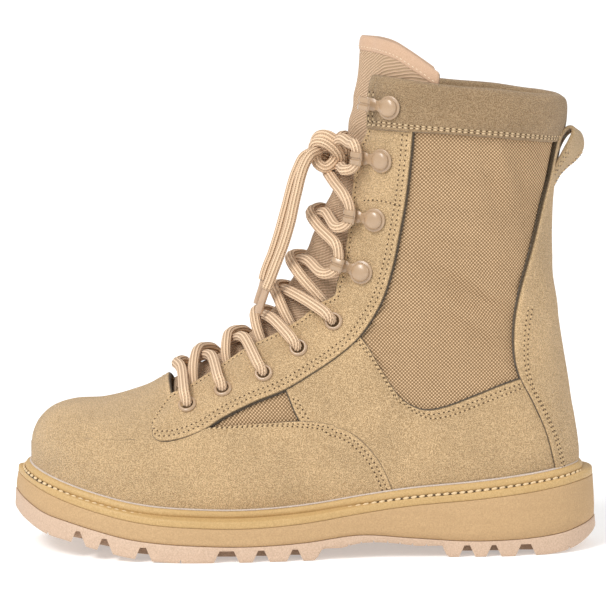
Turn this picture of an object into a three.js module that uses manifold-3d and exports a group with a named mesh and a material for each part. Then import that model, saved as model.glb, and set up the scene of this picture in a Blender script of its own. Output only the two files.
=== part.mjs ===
import * as THREE from 'three';
import { mergeVertices } from 'three/addons/utils/BufferGeometryUtils.js';
import Module from 'manifold-3d';

const wasm = await Module();
wasm.setup();

// A laced combat boot for the left foot. +Z is up, the toe points to -X and the lateral side to -Y.
// Sizes are in millimetres.

// Driving sizes of the last
const LAST_LENGTH = 283;
const BALL_WIDTH = 98;
const TOE_HEIGHT = 48;
const INSTEP_HEIGHT = 75.5;
const SHAFT_HEIGHT = 97;

// Driving sizes of the sole
const BALL_STACK = 26.5;
const TOE_SPRING = 18;
const HEEL_LIFT = 19.5;
const ARCH_RISE = 8;
const OUTSOLE_THICKNESS = 8;
const TOE_EDGE = 11.2;
const HEEL_EDGE = 12.5;
const SIDE_EDGE = 8.7;
const WELT_DEPTH = 10;
const BEAD_HEIGHT = 5;
const BEAD_WIDTH = 2.4;
const MIDSOLE_STEP = 1.6;
const WELT_STEP = 2.6;
const FLARE = 0.8;
const LUG_DEPTH = 5;
const LUG_REACH = 15;
const TREAD_GROOVE_WIDTH = 4;
const TREAD_GROOVE_DEPTH = 3.2;
const INSOLE_THICKNESS = 4;

// Thicknesses of the upper's layers
const WALL = 2.2;
const VAMP_THICKNESS = 2.4;
const QUARTER_THICKNESS = 2.0;
const EYESTAY_THICKNESS = 2.8;
const BACKSTAY_THICKNESS = 2.5;
const CUFF_THICKNESS = 3.6;
const TONGUE_THICKNESS = 3;
const TONGUE_PUFF = 4.6;

// Lace hardware and laces
const EYELET_DIAMETER = 9.8;
const EYELET_HOLE = 6.2;
const EYELET_FLANGE = 1.1;
const EYELET_SHELL = 0.7;
const EYELET_SEAT = 0.45;
const HOOK_WIDTH = 6.5;
const HOOK_LENGTH = 19;
const HOOK_METAL = 1.1;
const HOOK_CURL = 3.8;
const HOOK_LIP = 3.5;
const HOOK_SEAT = 0.35;
const RIVET_PLATE = 11;
const RIVET_CAP = 8.1;
const RIVET_HEIGHT = 2.4;
const RIVET_SHOULDER = 1.92;
const LACE_DIAMETER = 5;
const TIP_DIAMETER = 3.6;
const TIP_LENGTH = 13;
const KNOT_SIZE = 14;
const LACE_EDGE_CLEARANCE = 4.5;
const HOOK_PASS = 9.4;
const TIED_PASS = 7.8;
const FIRST_RISE = 3.4;
const FIRST_BOW = 0.1;
const OVER_EYELET = 7.9;
const UNDER_FACING = 1.5;
const IN_HOOK = 6.6;
const HOOK_SAG = 1.1;
const HOOK_BOW = -0.35;
const BAR_SAG = 1.3;
const BAR_BOW = -0.15;
const LACE_POINTS = 8;
const LACE_STEPS = 6;
const LACE_SIDES = 6;
const TIE_RUN = [
  { rise: 0.95, turn: 0.85, height: 6.6 },
  { rise: 0.8, turn: 0.5, height: 7.2 },
];

// Pull loop
const LOOP_WIDTH = 24;
const LOOP_THICKNESS = 2.2;
const LOOP_TWIST = 16;

const GAP = 0.3;
const PANEL_GAP = 0.4;

// How finely the last is faceted
const STATIONS_BETWEEN = 1;
const AROUND = 20;
const FACET_TOLERANCE = 0.08;
const SEARCH_STEPS = 40;

// Places that follow from the driving sizes. The sole is centred on the origin.
const SOLE_LENGTH = LAST_LENGTH + TOE_EDGE + HEEL_EDGE;
const SOLE_WIDTH = BALL_WIDTH + 2 * SIDE_EDGE;
const LAST_TOE = TOE_EDGE - SOLE_LENGTH / 2;
const FAR = SOLE_LENGTH;
const EYESTAY_OUTER = GAP + EYESTAY_THICKNESS;

function lastX(share) {
  return LAST_TOE + share * LAST_LENGTH;
}

// Heights on the last run 0 to 1 up the toe box, 1 to 2 up the instep and 2 to 3 up the shaft.
function lastZ(level) {
  const toe = Math.min(level, 1) * TOE_HEIGHT;
  const instep = THREE.MathUtils.clamp(level - 1, 0, 1) * INSTEP_HEIGHT;
  const shaft = Math.max(level - 2, 0) * SHAFT_HEIGHT;
  return BALL_STACK + toe + instep + shaft;
}

function lastPlace([share, level]) {
  return new THREE.Vector2(lastX(share), lastZ(level));
}

// A smooth function through the rows of a table. The first column is its variable, or the row's number
// where `byRow` is set.
function smoothTable(columns, rows, byRow = false) {
  const places = rows.map((row, index) => (byRow ? index : row[0]));
  const result = new Float64Array(columns.length);
  const interpolant = new THREE.CubicInterpolant(places, rows.flat(), columns.length, result);
  return (place) => {
    const values = interpolant.evaluate(place);
    return Object.fromEntries(columns.map((column, index) => [column, values[index]]));
  };
}

// Sections of the last. Each is a plane across the boot from a place on its front or top line to a place
// on its bottom or back line: flat across at the toe, level at the collar, and fanned around the instep
// between them. Widths are shares of BALL_WIDTH.
const SECTION_COLUMNS = [
  'topX', 'topZ', 'bottomX', 'bottomZ', 'middle', 'lateral', 'medial', 'widest', 'upperRound', 'lowerRound',
];
const SECTIONS = [
  [0.000, 0.562, 0.000, 0.198, 0.112, 0.031, 0.031, 0.50, 2.00, 2.00],
  [0.003, 0.667, 0.003, 0.156, 0.112, 0.122, 0.112, 0.48, 2.20, 2.40],
  [0.014, 0.798, 0.014, 0.094, 0.112, 0.219, 0.194, 0.47, 2.30, 3.00],
  [0.038, 0.921, 0.038, 0.031, 0.102, 0.311, 0.268, 0.46, 2.30, 3.50],
  [0.077, 0.992, 0.077, -0.052, 0.092, 0.403, 0.335, 0.45, 2.30, 4.00],
  [0.131, 1.009, 0.131, -0.146, 0.082, 0.480, 0.386, 0.44, 2.25, 4.00],
  [0.195, 1.078, 0.195, -0.219, 0.061, 0.527, 0.431, 0.43, 2.10, 4.00],
  [0.262, 1.205, 0.262, -0.260, 0.046, 0.538, 0.434, 0.43, 1.95, 4.00],
  [0.340, 1.323, 0.347, -0.271, 0.036, 0.526, 0.403, 0.44, 1.85, 4.00],
  [0.396, 1.454, 0.439, -0.260, 0.031, 0.490, 0.357, 0.45, 1.80, 4.00],
  [0.439, 1.608, 0.566, -0.198, 0.031, 0.444, 0.327, 0.46, 1.80, 4.00],
  [0.470, 1.766, 0.721, -0.135, 0.036, 0.403, 0.327, 0.48, 1.85, 4.00],
  [0.493, 1.927, 0.877, -0.052, 0.041, 0.393, 0.342, 0.50, 1.90, 3.60],
  [0.514, 2.067, 0.972, 0.094, 0.046, 0.393, 0.352, 0.50, 1.95, 2.80],
  [0.533, 2.186, 1.001, 0.365, 0.046, 0.391, 0.357, 0.50, 2.00, 2.50],
  [0.550, 2.309, 0.993, 0.865, 0.046, 0.393, 0.357, 0.50, 2.05, 2.40],
  [0.567, 2.433, 0.976, 1.285, 0.046, 0.398, 0.352, 0.50, 2.10, 2.30],
  [0.579, 2.567, 0.959, 1.682, 0.041, 0.403, 0.352, 0.50, 2.15, 2.20],
  [0.588, 2.701, 0.949, 2.103, 0.041, 0.413, 0.352, 0.50, 2.20, 2.15],
  [0.596, 2.825, 0.953, 2.433, 0.041, 0.423, 0.357, 0.50, 2.25, 2.15],
  [0.603, 2.948, 0.970, 2.742, 0.041, 0.429, 0.362, 0.50, 2.30, 2.15],
  [0.615, 3.237, 0.985, 3.237, 0.041, 0.434, 0.367, 0.50, 2.30, 2.15],
];
const LAST_STATION = SECTIONS.length - 1;
const sectionAt = smoothTable(SECTION_COLUMNS, SECTIONS, true);

// A point of the last. The angle is 0 on the front or top line, negative on the lateral side and a half
// turn on the bottom or back line.
function lastPoint(station, angle) {
  const row = sectionAt(THREE.MathUtils.clamp(station, 0, LAST_STATION));
  const upper = Math.cos(angle) >= 0;
  const power = 2 / (upper ? row.upperRound : row.lowerRound);
  const along = Math.abs(Math.cos(angle)) ** power;
  const across = Math.abs(Math.sin(angle)) ** power;
  const share = upper ? row.widest + (1 - row.widest) * along : row.widest * (1 - along);
  const side = Math.sin(angle) < 0 ? -row.lateral : row.medial;
  const top = lastPlace([row.topX, row.topZ]);
  const place = lastPlace([row.bottomX, row.bottomZ]).lerp(top, share);
  return new THREE.Vector3(place.x, BALL_WIDTH * (row.middle + side * across), place.y);
}

// The outward direction of the last's surface at a point
function lastNormal(station, angle) {
  const step = 0.02;
  const forward = lastPoint(station + step, angle).sub(lastPoint(station - step, angle));
  const around = lastPoint(station, angle + step).sub(lastPoint(station, angle - step));
  return forward.cross(around).normalize();
}

function raisedPoint(station, angle, height) {
  return lastPoint(station, angle).addScaledVector(lastNormal(station, angle), height);
}

// Finds the section and the angle whose point has a given place on the side view
function findOnLast({ x, y: z }, side) {
  const sideOf = (station) => {
    const row = sectionAt(station);
    const bottom = lastPlace([row.bottomX, row.bottomZ]);
    const rise = lastPlace([row.topX, row.topZ]).sub(bottom);
    return rise.cross(new THREE.Vector2(x, z).sub(bottom));
  };
  let low = 0;
  let high = LAST_STATION;
  for (let step = 0; step < SEARCH_STEPS; step += 1) {
    const middle = (low + high) / 2;
    if (sideOf(middle) < 0) {
      low = middle;
    } else {
      high = middle;
    }
  }
  const row = sectionAt(low);
  const bottom = lastPlace([row.bottomX, row.bottomZ]);
  const rise = lastPlace([row.topX, row.topZ]).sub(bottom);
  const share = new THREE.Vector2(x, z).sub(bottom).dot(rise) / rise.lengthSq();
  const upper = share >= row.widest;
  const along = upper ? (share - row.widest) / (1 - row.widest) : 1 - share / row.widest;
  const turn = Math.acos(Math.min(1, along) ** ((upper ? row.upperRound : row.lowerRound) / 2));
  return { station: low, angle: side * (upper ? turn : Math.PI - turn) };
}

// Solids and meshes

function toSolid(geometry) {
  const bare = geometry.index ? geometry.toNonIndexed() : geometry.clone();
  bare.deleteAttribute('normal');
  bare.deleteAttribute('uv');
  const merged = mergeVertices(bare, 1e-4);
  return new wasm.Manifold(new wasm.Mesh({
    numProp: 3,
    vertProperties: new Float32Array(merged.attributes.position.array),
    triVerts: new Uint32Array(merged.index.array),
    tolerance: FACET_TOLERANCE,
  }));
}

function toGeometry(solid) {
  const { vertProperties, triVerts } = solid.getMesh();
  const geometry = new THREE.BufferGeometry();
  geometry.setAttribute('position', new THREE.BufferAttribute(vertProperties, 3));
  geometry.setIndex(new THREE.BufferAttribute(triVerts, 1));
  return geometry;
}

// A closed solid through rings of points, with a flat fan over each end
function ringSolid(rings) {
  const around = rings[0].length;
  const centre = (ring) => {
    const sum = ring.reduce((total, point) => total.add(point), new THREE.Vector3());
    return sum.divideScalar(around);
  };
  const points = [...rings.flat(), centre(rings[0]), centre(rings.at(-1))];
  const faces = [];
  for (let index = 0; index < around; index += 1) {
    const next = (index + 1) % around;
    const last = (rings.length - 1) * around;
    for (let row = 0; row < last; row += around) {
      faces.push(row + index, row + around + index, row + next);
      faces.push(row + next, row + around + index, row + around + next);
    }
    faces.push(points.length - 2, index, next);
    faces.push(points.length - 1, last + next, last + index);
  }
  const geometry = new THREE.BufferGeometry().setFromPoints(points);
  geometry.setIndex(faces);
  const volume = solidVolume(points, faces);
  if (volume < 0) {
    geometry.setIndex(faces.reverse());
  }
  return toSolid(geometry);
}

function solidVolume(points, faces) {
  let volume = 0;
  for (let index = 0; index < faces.length; index += 3) {
    const [a, b, c] = faces.slice(index, index + 3).map((corner) => points[corner]);
    volume += a.dot(b.clone().cross(c));
  }
  return volume;
}

// The last grown or shrunk by a height, which may vary over it
function skin(height) {
  const heightAt = typeof height === 'function' ? height : () => height;
  const rows = Math.round(LAST_STATION * STATIONS_BETWEEN);
  const rings = [];
  for (let row = 0; row <= rows; row += 1) {
    const station = (row / rows) * LAST_STATION;
    const ring = [];
    for (let index = 0; index < AROUND; index += 1) {
      const angle = ((index + 0.5) / AROUND - 0.5) * 2 * Math.PI;
      ring.push(raisedPoint(station, angle, heightAt(station, angle)));
    }
    rings.push(ring);
  }
  return ringSolid(rings);
}

// A smooth run of places through a few of them
function smoothRun(places, pieces) {
  const points = places.map(({ x, y }) => new THREE.Vector3(x, y, 0));
  const curve = new THREE.CatmullRomCurve3(points, false, 'centripetal');
  return curve.getPoints(pieces).map(({ x, y }) => new THREE.Vector2(x, y));
}

// Moves a closed outline outwards by a distance
function growOutline(outline, distance) {
  const sign = THREE.ShapeUtils.area(outline) > 0 ? 1 : -1;
  return outline.map((point, index) => {
    const before = outline.at(index - 1);
    const after = outline[(index + 1) % outline.length];
    const incoming = point.clone().sub(before).normalize();
    const outgoing = after.clone().sub(point).normalize();
    const normal = new THREE.Vector2(incoming.y + outgoing.y, -incoming.x - outgoing.x).normalize();
    const stretch = Math.max(0.5, normal.dot(new THREE.Vector2(outgoing.y, -outgoing.x)));
    return point.clone().addScaledVector(normal, (sign * distance) / stretch);
  });
}

// A plate across the boot, with its outline in the side view
function sidePlate(outline, from = -FAR, to = FAR) {
  const shape = new THREE.Shape(outline);
  const geometry = new THREE.ExtrudeGeometry(shape, { depth: to - from, bevelEnabled: false });
  geometry.rotateX(Math.PI / 2);
  geometry.translate(0, to, 0);
  return toSolid(geometry);
}

// A tube along a smooth curve
function tube(points, diameter, sides, steps) {
  const section = new THREE.Shape();
  section.absarc(0, 0, diameter / 2, 0, 2 * Math.PI, false);
  const round = new THREE.Shape(section.getSpacedPoints(sides).slice(0, sides));
  const extrudePath = new THREE.CatmullRomCurve3(points, false, 'centripetal');
  return toSolid(new THREE.ExtrudeGeometry(round, { steps, extrudePath, bevelEnabled: false }));
}

// The frame of a piece seated on the last: X forwards to the throat, Z outwards
function seatFrame({ station, angle }, height) {
  const out = lastNormal(station, angle);
  const up = raisedPoint(station + 0.2, angle, 0).sub(raisedPoint(station - 0.2, angle, 0));
  up.addScaledVector(out, -up.dot(out)).multiplyScalar(Math.sign(angle)).normalize();
  const frame = new THREE.Matrix4().makeBasis(up.clone().cross(out), up, out);
  return frame.setPosition(raisedPoint(station, angle, height));
}

function seatOnLast(solid, seat, height) {
  return solid.transform(seatFrame(seat, height).elements);
}

const group = new THREE.Group();

function addPart(name, solid, color, roughness = 0.9, metalness = 0) {
  const material = new THREE.MeshStandardMaterial({ color, roughness, metalness });
  const mesh = new THREE.Mesh(toGeometry(solid), material);
  mesh.name = name;
  group.add(mesh);
}

const SUEDE = 0xc9ae82;
const CUFF_SUEDE = 0xbfa277;
const NYLON = 0xc8aa7c;
const LACE = 0xd2b594;
const RUBBER = 0xd8b79a;
const FOAM = 0xc6a878;
const WELTING = 0xc9a468;
const ENAMEL = 0xb99c72;
const LINING = 0xa98f66;

// Sole

// Heights along the sole. `at` is a share of LAST_LENGTH from the last's toe. `spring` is a share of
// TOE_SPRING, `ball` of BALL_STACK, `lift` of HEEL_LIFT, `tread` and `bevel` of OUTSOLE_THICKNESS and
// `arch` of ARCH_RISE.
const levelAt = smoothTable(['at', 'spring', 'ball', 'lift', 'tread', 'bevel', 'arch'], [
  [-0.045, 1.10, 1.070, 0.00, 1.30, 0, 0.00],
  [-0.017, 0.86, 1.130, 0.00, 1.32, 0, 0.00],
  [0.022, 0.60, 1.160, 0.00, 1.31, 0, 0.00],
  [0.071, 0.46, 1.100, 0.00, 1.25, 0, 0.00],
  [0.121, 0.30, 1.075, 0.00, 1.22, 0, 0.00],
  [0.177, 0.13, 1.065, 0.00, 1.19, 0, 0.00],
  [0.234, 0.03, 1.050, 0.00, 1.18, 0, 0.00],
  [0.290, 0.00, 1.030, 0.00, 1.12, 0, 0.00],
  [0.396, 0.00, 1.000, 0.00, 1.00, 0, 0.00],
  [0.502, 0.00, 1.000, 0.10, 1.16, 0, 0.00],
  [0.601, 0.00, 1.000, 0.31, 1.54, 0, 1.00],
  [0.697, 0.00, 1.000, 0.49, 1.28, 0, 0.80],
  [0.803, 0.00, 1.000, 0.62, 1.03, 0, 0.00],
  [0.909, 0.00, 1.000, 0.79, 1.12, 0, 0.00],
  [0.976, 0.00, 1.000, 0.93, 1.36, 0.12, 0.00],
  [1.006, 0.00, 1.000, 1.00, 1.60, 0.40, 0.00],
  [1.045, 0.00, 1.000, 1.06, 2.00, 1.16, 0.00],
]);

const featherZ = (at) => {
  const { spring, ball, lift } = levelAt(at);
  return TOE_SPRING * spring + BALL_STACK * ball + HEEL_LIFT * lift;
};
const ledgeZ = (at) => TOE_SPRING * levelAt(at).spring + OUTSOLE_THICKNESS * levelAt(at).tread;
const weltZ = (at) => featherZ(at) - WELT_DEPTH;
const beadZ = (at) => featherZ(at) - BEAD_HEIGHT;

// The tread's lower line: toe spring, flat forefoot, raised arch, flat heel and a bevel at the back
const ARCH = { start: 0.522, front: 0.534, rear: 0.738, end: 0.758, leastRise: 0.75 };
const FOREFOOT_FLAT = 0.29;
const HEEL_FLAT = 0.93;

function treadZ(at) {
  const { spring, bevel, arch } = levelAt(at);
  const rising = THREE.MathUtils.clamp((at - ARCH.start) / (ARCH.front - ARCH.start), 0, 1);
  const falling = THREE.MathUtils.clamp((ARCH.end - at) / (ARCH.end - ARCH.rear), 0, 1);
  const roof = ARCH_RISE * Math.max(arch, ARCH.leastRise) * Math.min(rising, falling);
  const toe = at < FOREFOOT_FLAT ? TOE_SPRING * spring : 0;
  const back = at > HEEL_FLAT ? OUTSOLE_THICKNESS * Math.max(bevel, 0) : 0;
  return toe + back + roof;
}

// The run of a height function along the boot, as places in the side view
function heightRun(heightOf, shift = 0, pieces = 13, from = -0.06, to = 1.06) {
  const places = [];
  for (let index = 0; index <= pieces; index += 1) {
    const at = from + ((to - from) * index) / pieces;
    places.push(new THREE.Vector2(lastX(at), heightOf(at) + shift));
  }
  return places;
}

const TREAD_STOPS = [
  -0.06, -0.03, -0.01, 0.02, 0.06, 0.1, 0.15, 0.2, 0.245, FOREFOOT_FLAT, ARCH.start, ARCH.front, 0.6, 0.67,
  ARCH.rear, ARCH.end, HEEL_FLAT, 0.965, 0.99, 1.02, 1.06,
];
const treadRun = TREAD_STOPS.map((at) => new THREE.Vector2(lastX(at), treadZ(at)));

function between(lowerRun, upperRun) {
  return sidePlate([...lowerRun, ...upperRun.toReversed()]);
}

// Outline of the sole from above. `at` is a share of SOLE_LENGTH, the sides are shares of SOLE_WIDTH.
const SOLE_OUTLINE = [
  { at: 0.007, lateral: 0.009, medial: 0.182 },
  { at: 0.021, lateral: -0.091, medial: 0.269 },
  { at: 0.053, lateral: -0.226, medial: 0.360 },
  { at: 0.096, lateral: -0.335, medial: 0.433 },
  { at: 0.148, lateral: -0.414, medial: 0.477 },
  { at: 0.218, lateral: -0.477, medial: 0.501 },
  { at: 0.291, lateral: -0.500, medial: 0.484 },
  { at: 0.357, lateral: -0.495, medial: 0.449 },
  { at: 0.439, lateral: -0.469, medial: 0.399 },
  { at: 0.536, lateral: -0.418, medial: 0.367 },
  { at: 0.634, lateral: -0.368, medial: 0.375 },
  { at: 0.728, lateral: -0.344, medial: 0.400 },
  { at: 0.811, lateral: -0.331, medial: 0.409 },
  { at: 0.881, lateral: -0.302, medial: 0.393 },
  { at: 0.942, lateral: -0.231, medial: 0.338 },
  { at: 0.978, lateral: -0.134, medial: 0.243 },
  { at: 0.995, lateral: -0.039, medial: 0.147 },
];
const soleEdges = smoothTable(
  ['at', 'lateral', 'medial'],
  SOLE_OUTLINE.map(({ at, lateral, medial }) => [at, lateral, medial]),
);
const TOE_TIP = 0.095;
const HEEL_TIP = 0.053;
const OUTLINE_POINTS = 44;

function soleOutline(inset) {
  const place = (at, side) => new THREE.Vector3((at - 0.5) * SOLE_LENGTH, side * SOLE_WIDTH, 0);
  const corners = [
    place(0, TOE_TIP),
    ...SOLE_OUTLINE.map(({ at, lateral }) => place(at, lateral)),
    place(1, HEEL_TIP),
    ...SOLE_OUTLINE.toReversed().map(({ at, medial }) => place(at, medial)),
  ];
  const curve = new THREE.CatmullRomCurve3(corners, true, 'centripetal');
  const points = curve.getSpacedPoints(OUTLINE_POINTS).slice(0, OUTLINE_POINTS);
  return growOutline(points.map(({ x, y }) => new THREE.Vector2(x, y)), -inset);
}

// A standing wall around the sole's outline, wider at the bottom by a flare
function soleBlock(lowInset, highInset) {
  const ring = (inset, z) => soleOutline(inset).map(({ x, y }) => new THREE.Vector3(x, y, z));
  const top = BALL_STACK + TOE_SPRING + HEEL_LIFT;
  return ringSolid([ring(lowInset, -top), ring(lowInset, 0), ring(highInset, top / 2), ring(highInset, top)]);
}

// Gaps between the tread's side lugs, as shares of LAST_LENGTH. A groove crosses the tread behind each
// but the one at the waist.
const LUG_GAPS = [
  { open: 0.074, close: 0.103 },
  { open: 0.123, close: 0.153 },
  { open: 0.193, close: 0.225 },
  { open: 0.337, close: 0.384 },
  { open: 0.407, close: 0.439 },
  { open: 0.469, close: 0.500, atWaist: true },
  { open: 0.783, close: 0.814 },
  { open: 0.833, close: 0.862 },
  { open: 0.887, close: 0.926 },
];
const LUG_SLOPE = 0.6;

function lugGap({ open, close }, reach, depth, slope) {
  const foot = Math.max(treadZ(open), treadZ(close));
  const roof = foot + depth;
  const low = Math.min(treadZ(open), treadZ(close)) - depth;
  const side = slope * depth;
  const outline = [
    new THREE.Vector2(lastX(open) - side, low),
    new THREE.Vector2(lastX(close) + side, low),
    new THREE.Vector2(lastX(close) - side, roof),
    new THREE.Vector2(lastX(open) + side, roof),
  ];
  return sidePlate(outline, reach.from, reach.to);
}

function sideReach(at, side) {
  const place = (at * LAST_LENGTH + TOE_EDGE) / SOLE_LENGTH;
  const edges = soleEdges(place);
  const edge = SOLE_WIDTH * (side < 0 ? edges.lateral : edges.medial);
  const inner = edge - side * LUG_REACH;
  return side < 0 ? { from: -FAR, to: inner } : { from: inner, to: FAR };
}

function makeOutsole() {
  const slab = between(treadRun, heightRun(ledgeZ));
  const gaps = LUG_GAPS.flatMap((gap) => [-1, 1].map((side) => (
    lugGap(gap, sideReach((gap.open + gap.close) / 2, side), LUG_DEPTH, LUG_SLOPE)
  )));
  const grooves = LUG_GAPS.filter(({ atWaist }) => !atWaist).map(({ close }) => {
    const at = close + TREAD_GROOVE_WIDTH / LAST_LENGTH;
    const lateral = sideReach(at, -1).to + TREAD_GROOVE_WIDTH;
    const medial = sideReach(at, 1).from - TREAD_GROOVE_WIDTH;
    const groove = { open: at, close: at + TREAD_GROOVE_WIDTH / LAST_LENGTH };
    return lugGap(groove, { from: lateral, to: medial }, TREAD_GROOVE_DEPTH, 0);
  });
  return soleBlock(0, FLARE).intersect(slab).subtract(wasm.Manifold.union([...gaps, ...grooves]));
}

function makeMidsole() {
  const slab = between(heightRun(ledgeZ, GAP), heightRun(weltZ, -GAP));
  return soleBlock(MIDSOLE_STEP, MIDSOLE_STEP + FLARE).intersect(slab);
}

function makeWelt(panelSkin, beadSkin) {
  const strip = soleBlock(WELT_STEP, WELT_STEP).intersect(between(heightRun(weltZ), heightRun(beadZ)));
  const bead = beadSkin.intersect(between(heightRun(weltZ), heightRun(featherZ)));
  return strip.add(bead).subtract(panelSkin);
}

// Edges of the upper's panels in the side view, as shares of the last's length and its height levels
const THROAT_EDGE = [
  [0.632, 3.200], [0.624, 3.040], [0.617, 2.881], [0.620, 2.717], [0.606, 2.616], [0.597, 2.457],
  [0.588, 2.270], [0.582, 2.137], [0.575, 2.019], [0.562, 1.867], [0.557, 1.790], [0.526, 1.722],
  [0.493, 1.612], [0.447, 1.501], [0.402, 1.405], [0.356, 1.294], [0.310, 1.191], [0.279, 1.128],
].map(lastPlace);
const THROAT_END = [[0.262, 1.140], [0.246, 1.190], [0.237, 1.260]].map(lastPlace);
const EYESTAY_TAB = [
  [0.257, 1.094], [0.238, 1.012], [0.224, 0.888], [0.222, 0.780], [0.238, 0.704], [0.274, 0.726],
  [0.320, 0.823],
].map(lastPlace);
const EYESTAY_REAR = [
  [0.357, 0.953], [0.411, 1.067], [0.466, 1.149], [0.511, 1.245], [0.566, 1.383], [0.606, 1.520],
  [0.644, 1.746], [0.665, 1.985], [0.678, 2.174], [0.689, 2.360], [0.696, 2.545], [0.701, 2.719],
  [0.701, 2.850],
].map(lastPlace);
const VAMP_EDGE = [
  [0.300, 0.780], [0.321, 0.847], [0.384, 0.890], [0.439, 0.912], [0.493, 0.933], [0.538, 0.912],
  [0.575, 0.847], [0.606, 0.717], [0.635, 0.523], [0.653, 0.328], [0.668, 0.090], [0.674, -0.250],
].map(lastPlace);
const STRAP_EDGE = [[0.497, 0.860], [0.484, 0.997], [0.466, 1.156], [0.450, 1.300]].map(lastPlace);
const QUARTER_EDGE = [
  [0.560, 1.640], [0.606, 1.509], [0.638, 1.318], [0.671, 1.132], [0.690, 1.070], [0.720, 1.029],
  [0.757, 1.050], [0.802, 1.112], [0.857, 1.194], [0.920, 1.270],
].map(lastPlace);
const BACKSTAY_EDGE = [
  [0.962, 2.760], [0.956, 2.655], [0.944, 2.485], [0.930, 2.325], [0.912, 2.112], [0.894, 1.904],
  [0.882, 1.697], [0.879, 1.456], [0.888, 1.270], [0.914, 1.076], [0.938, 0.793], [0.951, 0.521],
  [0.959, 0.302], [0.962, 0.020],
].map(lastPlace);
const COLLAR_EDGE = [
  [0.580, 3.014], [0.612, 3.007], [0.674, 2.991], [0.728, 2.970], [0.782, 2.954], [0.855, 2.938],
  [0.909, 2.917], [0.950, 2.895], [0.972, 2.868], [0.984, 2.815], [0.992, 2.740],
].map(lastPlace);
const CUFF_EDGE = [
  [0.580, 2.730], [0.612, 2.728], [0.701, 2.718], [0.746, 2.713], [0.819, 2.697], [0.891, 2.676],
  [0.972, 2.649], [1.030, 2.630],
].map(lastPlace);
const TONGUE_TOP = [
  [0.560, 3.205], [0.604, 3.208], [0.629, 3.198], [0.658, 3.171], [0.687, 3.119], [0.713, 3.066],
  [0.744, 3.000],
].map(lastPlace);
const TONGUE_REAR = [
  [0.744, 2.950], [0.712, 2.600], [0.690, 2.200], [0.664, 1.850], [0.610, 1.560], [0.520, 1.300],
  [0.420, 1.120], [0.320, 0.980], [0.262, 0.960], [0.222, 1.010], [0.205, 1.150],
].map(lastPlace);

const corner = (share, level) => lastPlace([share, level]);
const OUTLINES = {
  throat: [
    ...smoothRun(THROAT_EDGE, 18),
    ...smoothRun(THROAT_END, 3),
    corner(0.237, 3.5),
    corner(0.632, 3.5),
  ],
  eyestay: [
    ...smoothRun(THROAT_EDGE, 18),
    ...smoothRun(EYESTAY_TAB, 7),
    ...smoothRun(EYESTAY_REAR, 12),
    corner(0.701, 3.2),
  ],
  vamp: [...smoothRun(VAMP_EDGE, 12), corner(-0.1, -0.25), corner(-0.1, 1.5), corner(0.3, 1.5)],
  quarter: [
    ...smoothRun(STRAP_EDGE, 3),
    corner(0.5, 1.64),
    ...smoothRun(QUARTER_EDGE, 10),
    corner(1.1, 1.27),
    corner(1.1, -0.4),
    corner(0.497, -0.4),
  ],
  backstay: [...smoothRun(BACKSTAY_EDGE, 12), corner(0.962, -0.4), corner(1.1, -0.4), corner(1.1, 2.76)],
  cuff: [...smoothRun(CUFF_EDGE, 6), corner(1.1, 3.3), corner(0.58, 3.3)],
  aboveCollar: [...smoothRun(COLLAR_EDGE, 10), corner(1.1, 2.74), corner(1.1, 3.6), corner(0.58, 3.6)],
  tongue: [
    ...smoothRun(TONGUE_TOP, 6),
    ...smoothRun(TONGUE_REAR, 9),
    corner(0.205, 1.6),
    corner(0.4, 2.0),
    corner(0.56, 2.8),
  ],
};

// Skins of the last that the layers are cut between
const skins = {
  inside: skin(-WALL),
  outside: skin(0),
  panelInside: skin(GAP),
  vamp: skin(GAP + VAMP_THICKNESS),
  quarter: skin(GAP + QUARTER_THICKNESS),
  eyestay: skin(GAP + EYESTAY_THICKNESS),
  backstay: skin(GAP + BACKSTAY_THICKNESS),
  cuff: skin(GAP + CUFF_THICKNESS),
};
const panelThicknesses = [VAMP_THICKNESS, QUARTER_THICKNESS, EYESTAY_THICKNESS, BACKSTAY_THICKNESS];
const thickestPanel = GAP + Math.max(...panelThicknesses);
const plates = {};
const grown = {};
for (const [name, outline] of Object.entries(OUTLINES)) {
  plates[name] = sidePlate(outline);
}
for (const name of ['eyestay', 'vamp', 'backstay', 'cuff']) {
  grown[name] = sidePlate(growOutline(OUTLINES[name], PANEL_GAP));
}
const aboveSole = between(heightRun(weltZ, GAP), [corner(1.06, 4), corner(-0.06, 4)].toReversed());

function makeUpper() {
  const shell = skins.outside.subtract(skins.inside).intersect(aboveSole);
  return shell.subtract(plates.aboveCollar).subtract(plates.throat);
}

// A panel of the upper, in one layer over the shell, clear of the panels named in `beside`
function makePanel(name, beside) {
  let panel = skins[name].subtract(skins.panelInside).intersect(plates[name]).intersect(aboveSole);
  panel = panel.subtract(plates.aboveCollar).subtract(plates.throat);
  for (const neighbour of beside) {
    panel = panel.subtract(grown[neighbour]);
  }
  return panel;
}

function oneSide(solid, side) {
  const half = side < 0 ? { from: -FAR, to: 0 } : { from: 0, to: FAR };
  const whole = [corner(-0.2, -1), corner(1.2, -1), corner(1.2, 4), corner(-0.2, 4)];
  return solid.intersect(sidePlate(whole, half.from, half.to));
}

// The tongue fills the throat: between the facings it rises in a soft crown, under them it lies inside
const throatStops = [...smoothRun(THROAT_EDGE, 18), ...smoothRun(THROAT_END, 3)]
  .map((place) => findOnLast(place, 1))
  .filter(({ angle }) => Number.isFinite(angle))
  .sort((one, other) => one.station - other.station);

function throatAngle(station) {
  const after = throatStops.findIndex((stop) => stop.station > station);
  if (after === 0) {
    return 0;
  }
  if (after < 0) {
    return throatStops.at(-1).angle;
  }
  const [low, high] = [throatStops[after - 1], throatStops[after]];
  const share = (station - low.station) / Math.max(high.station - low.station, 1e-6);
  return THREE.MathUtils.lerp(low.angle, high.angle, share);
}

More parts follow.
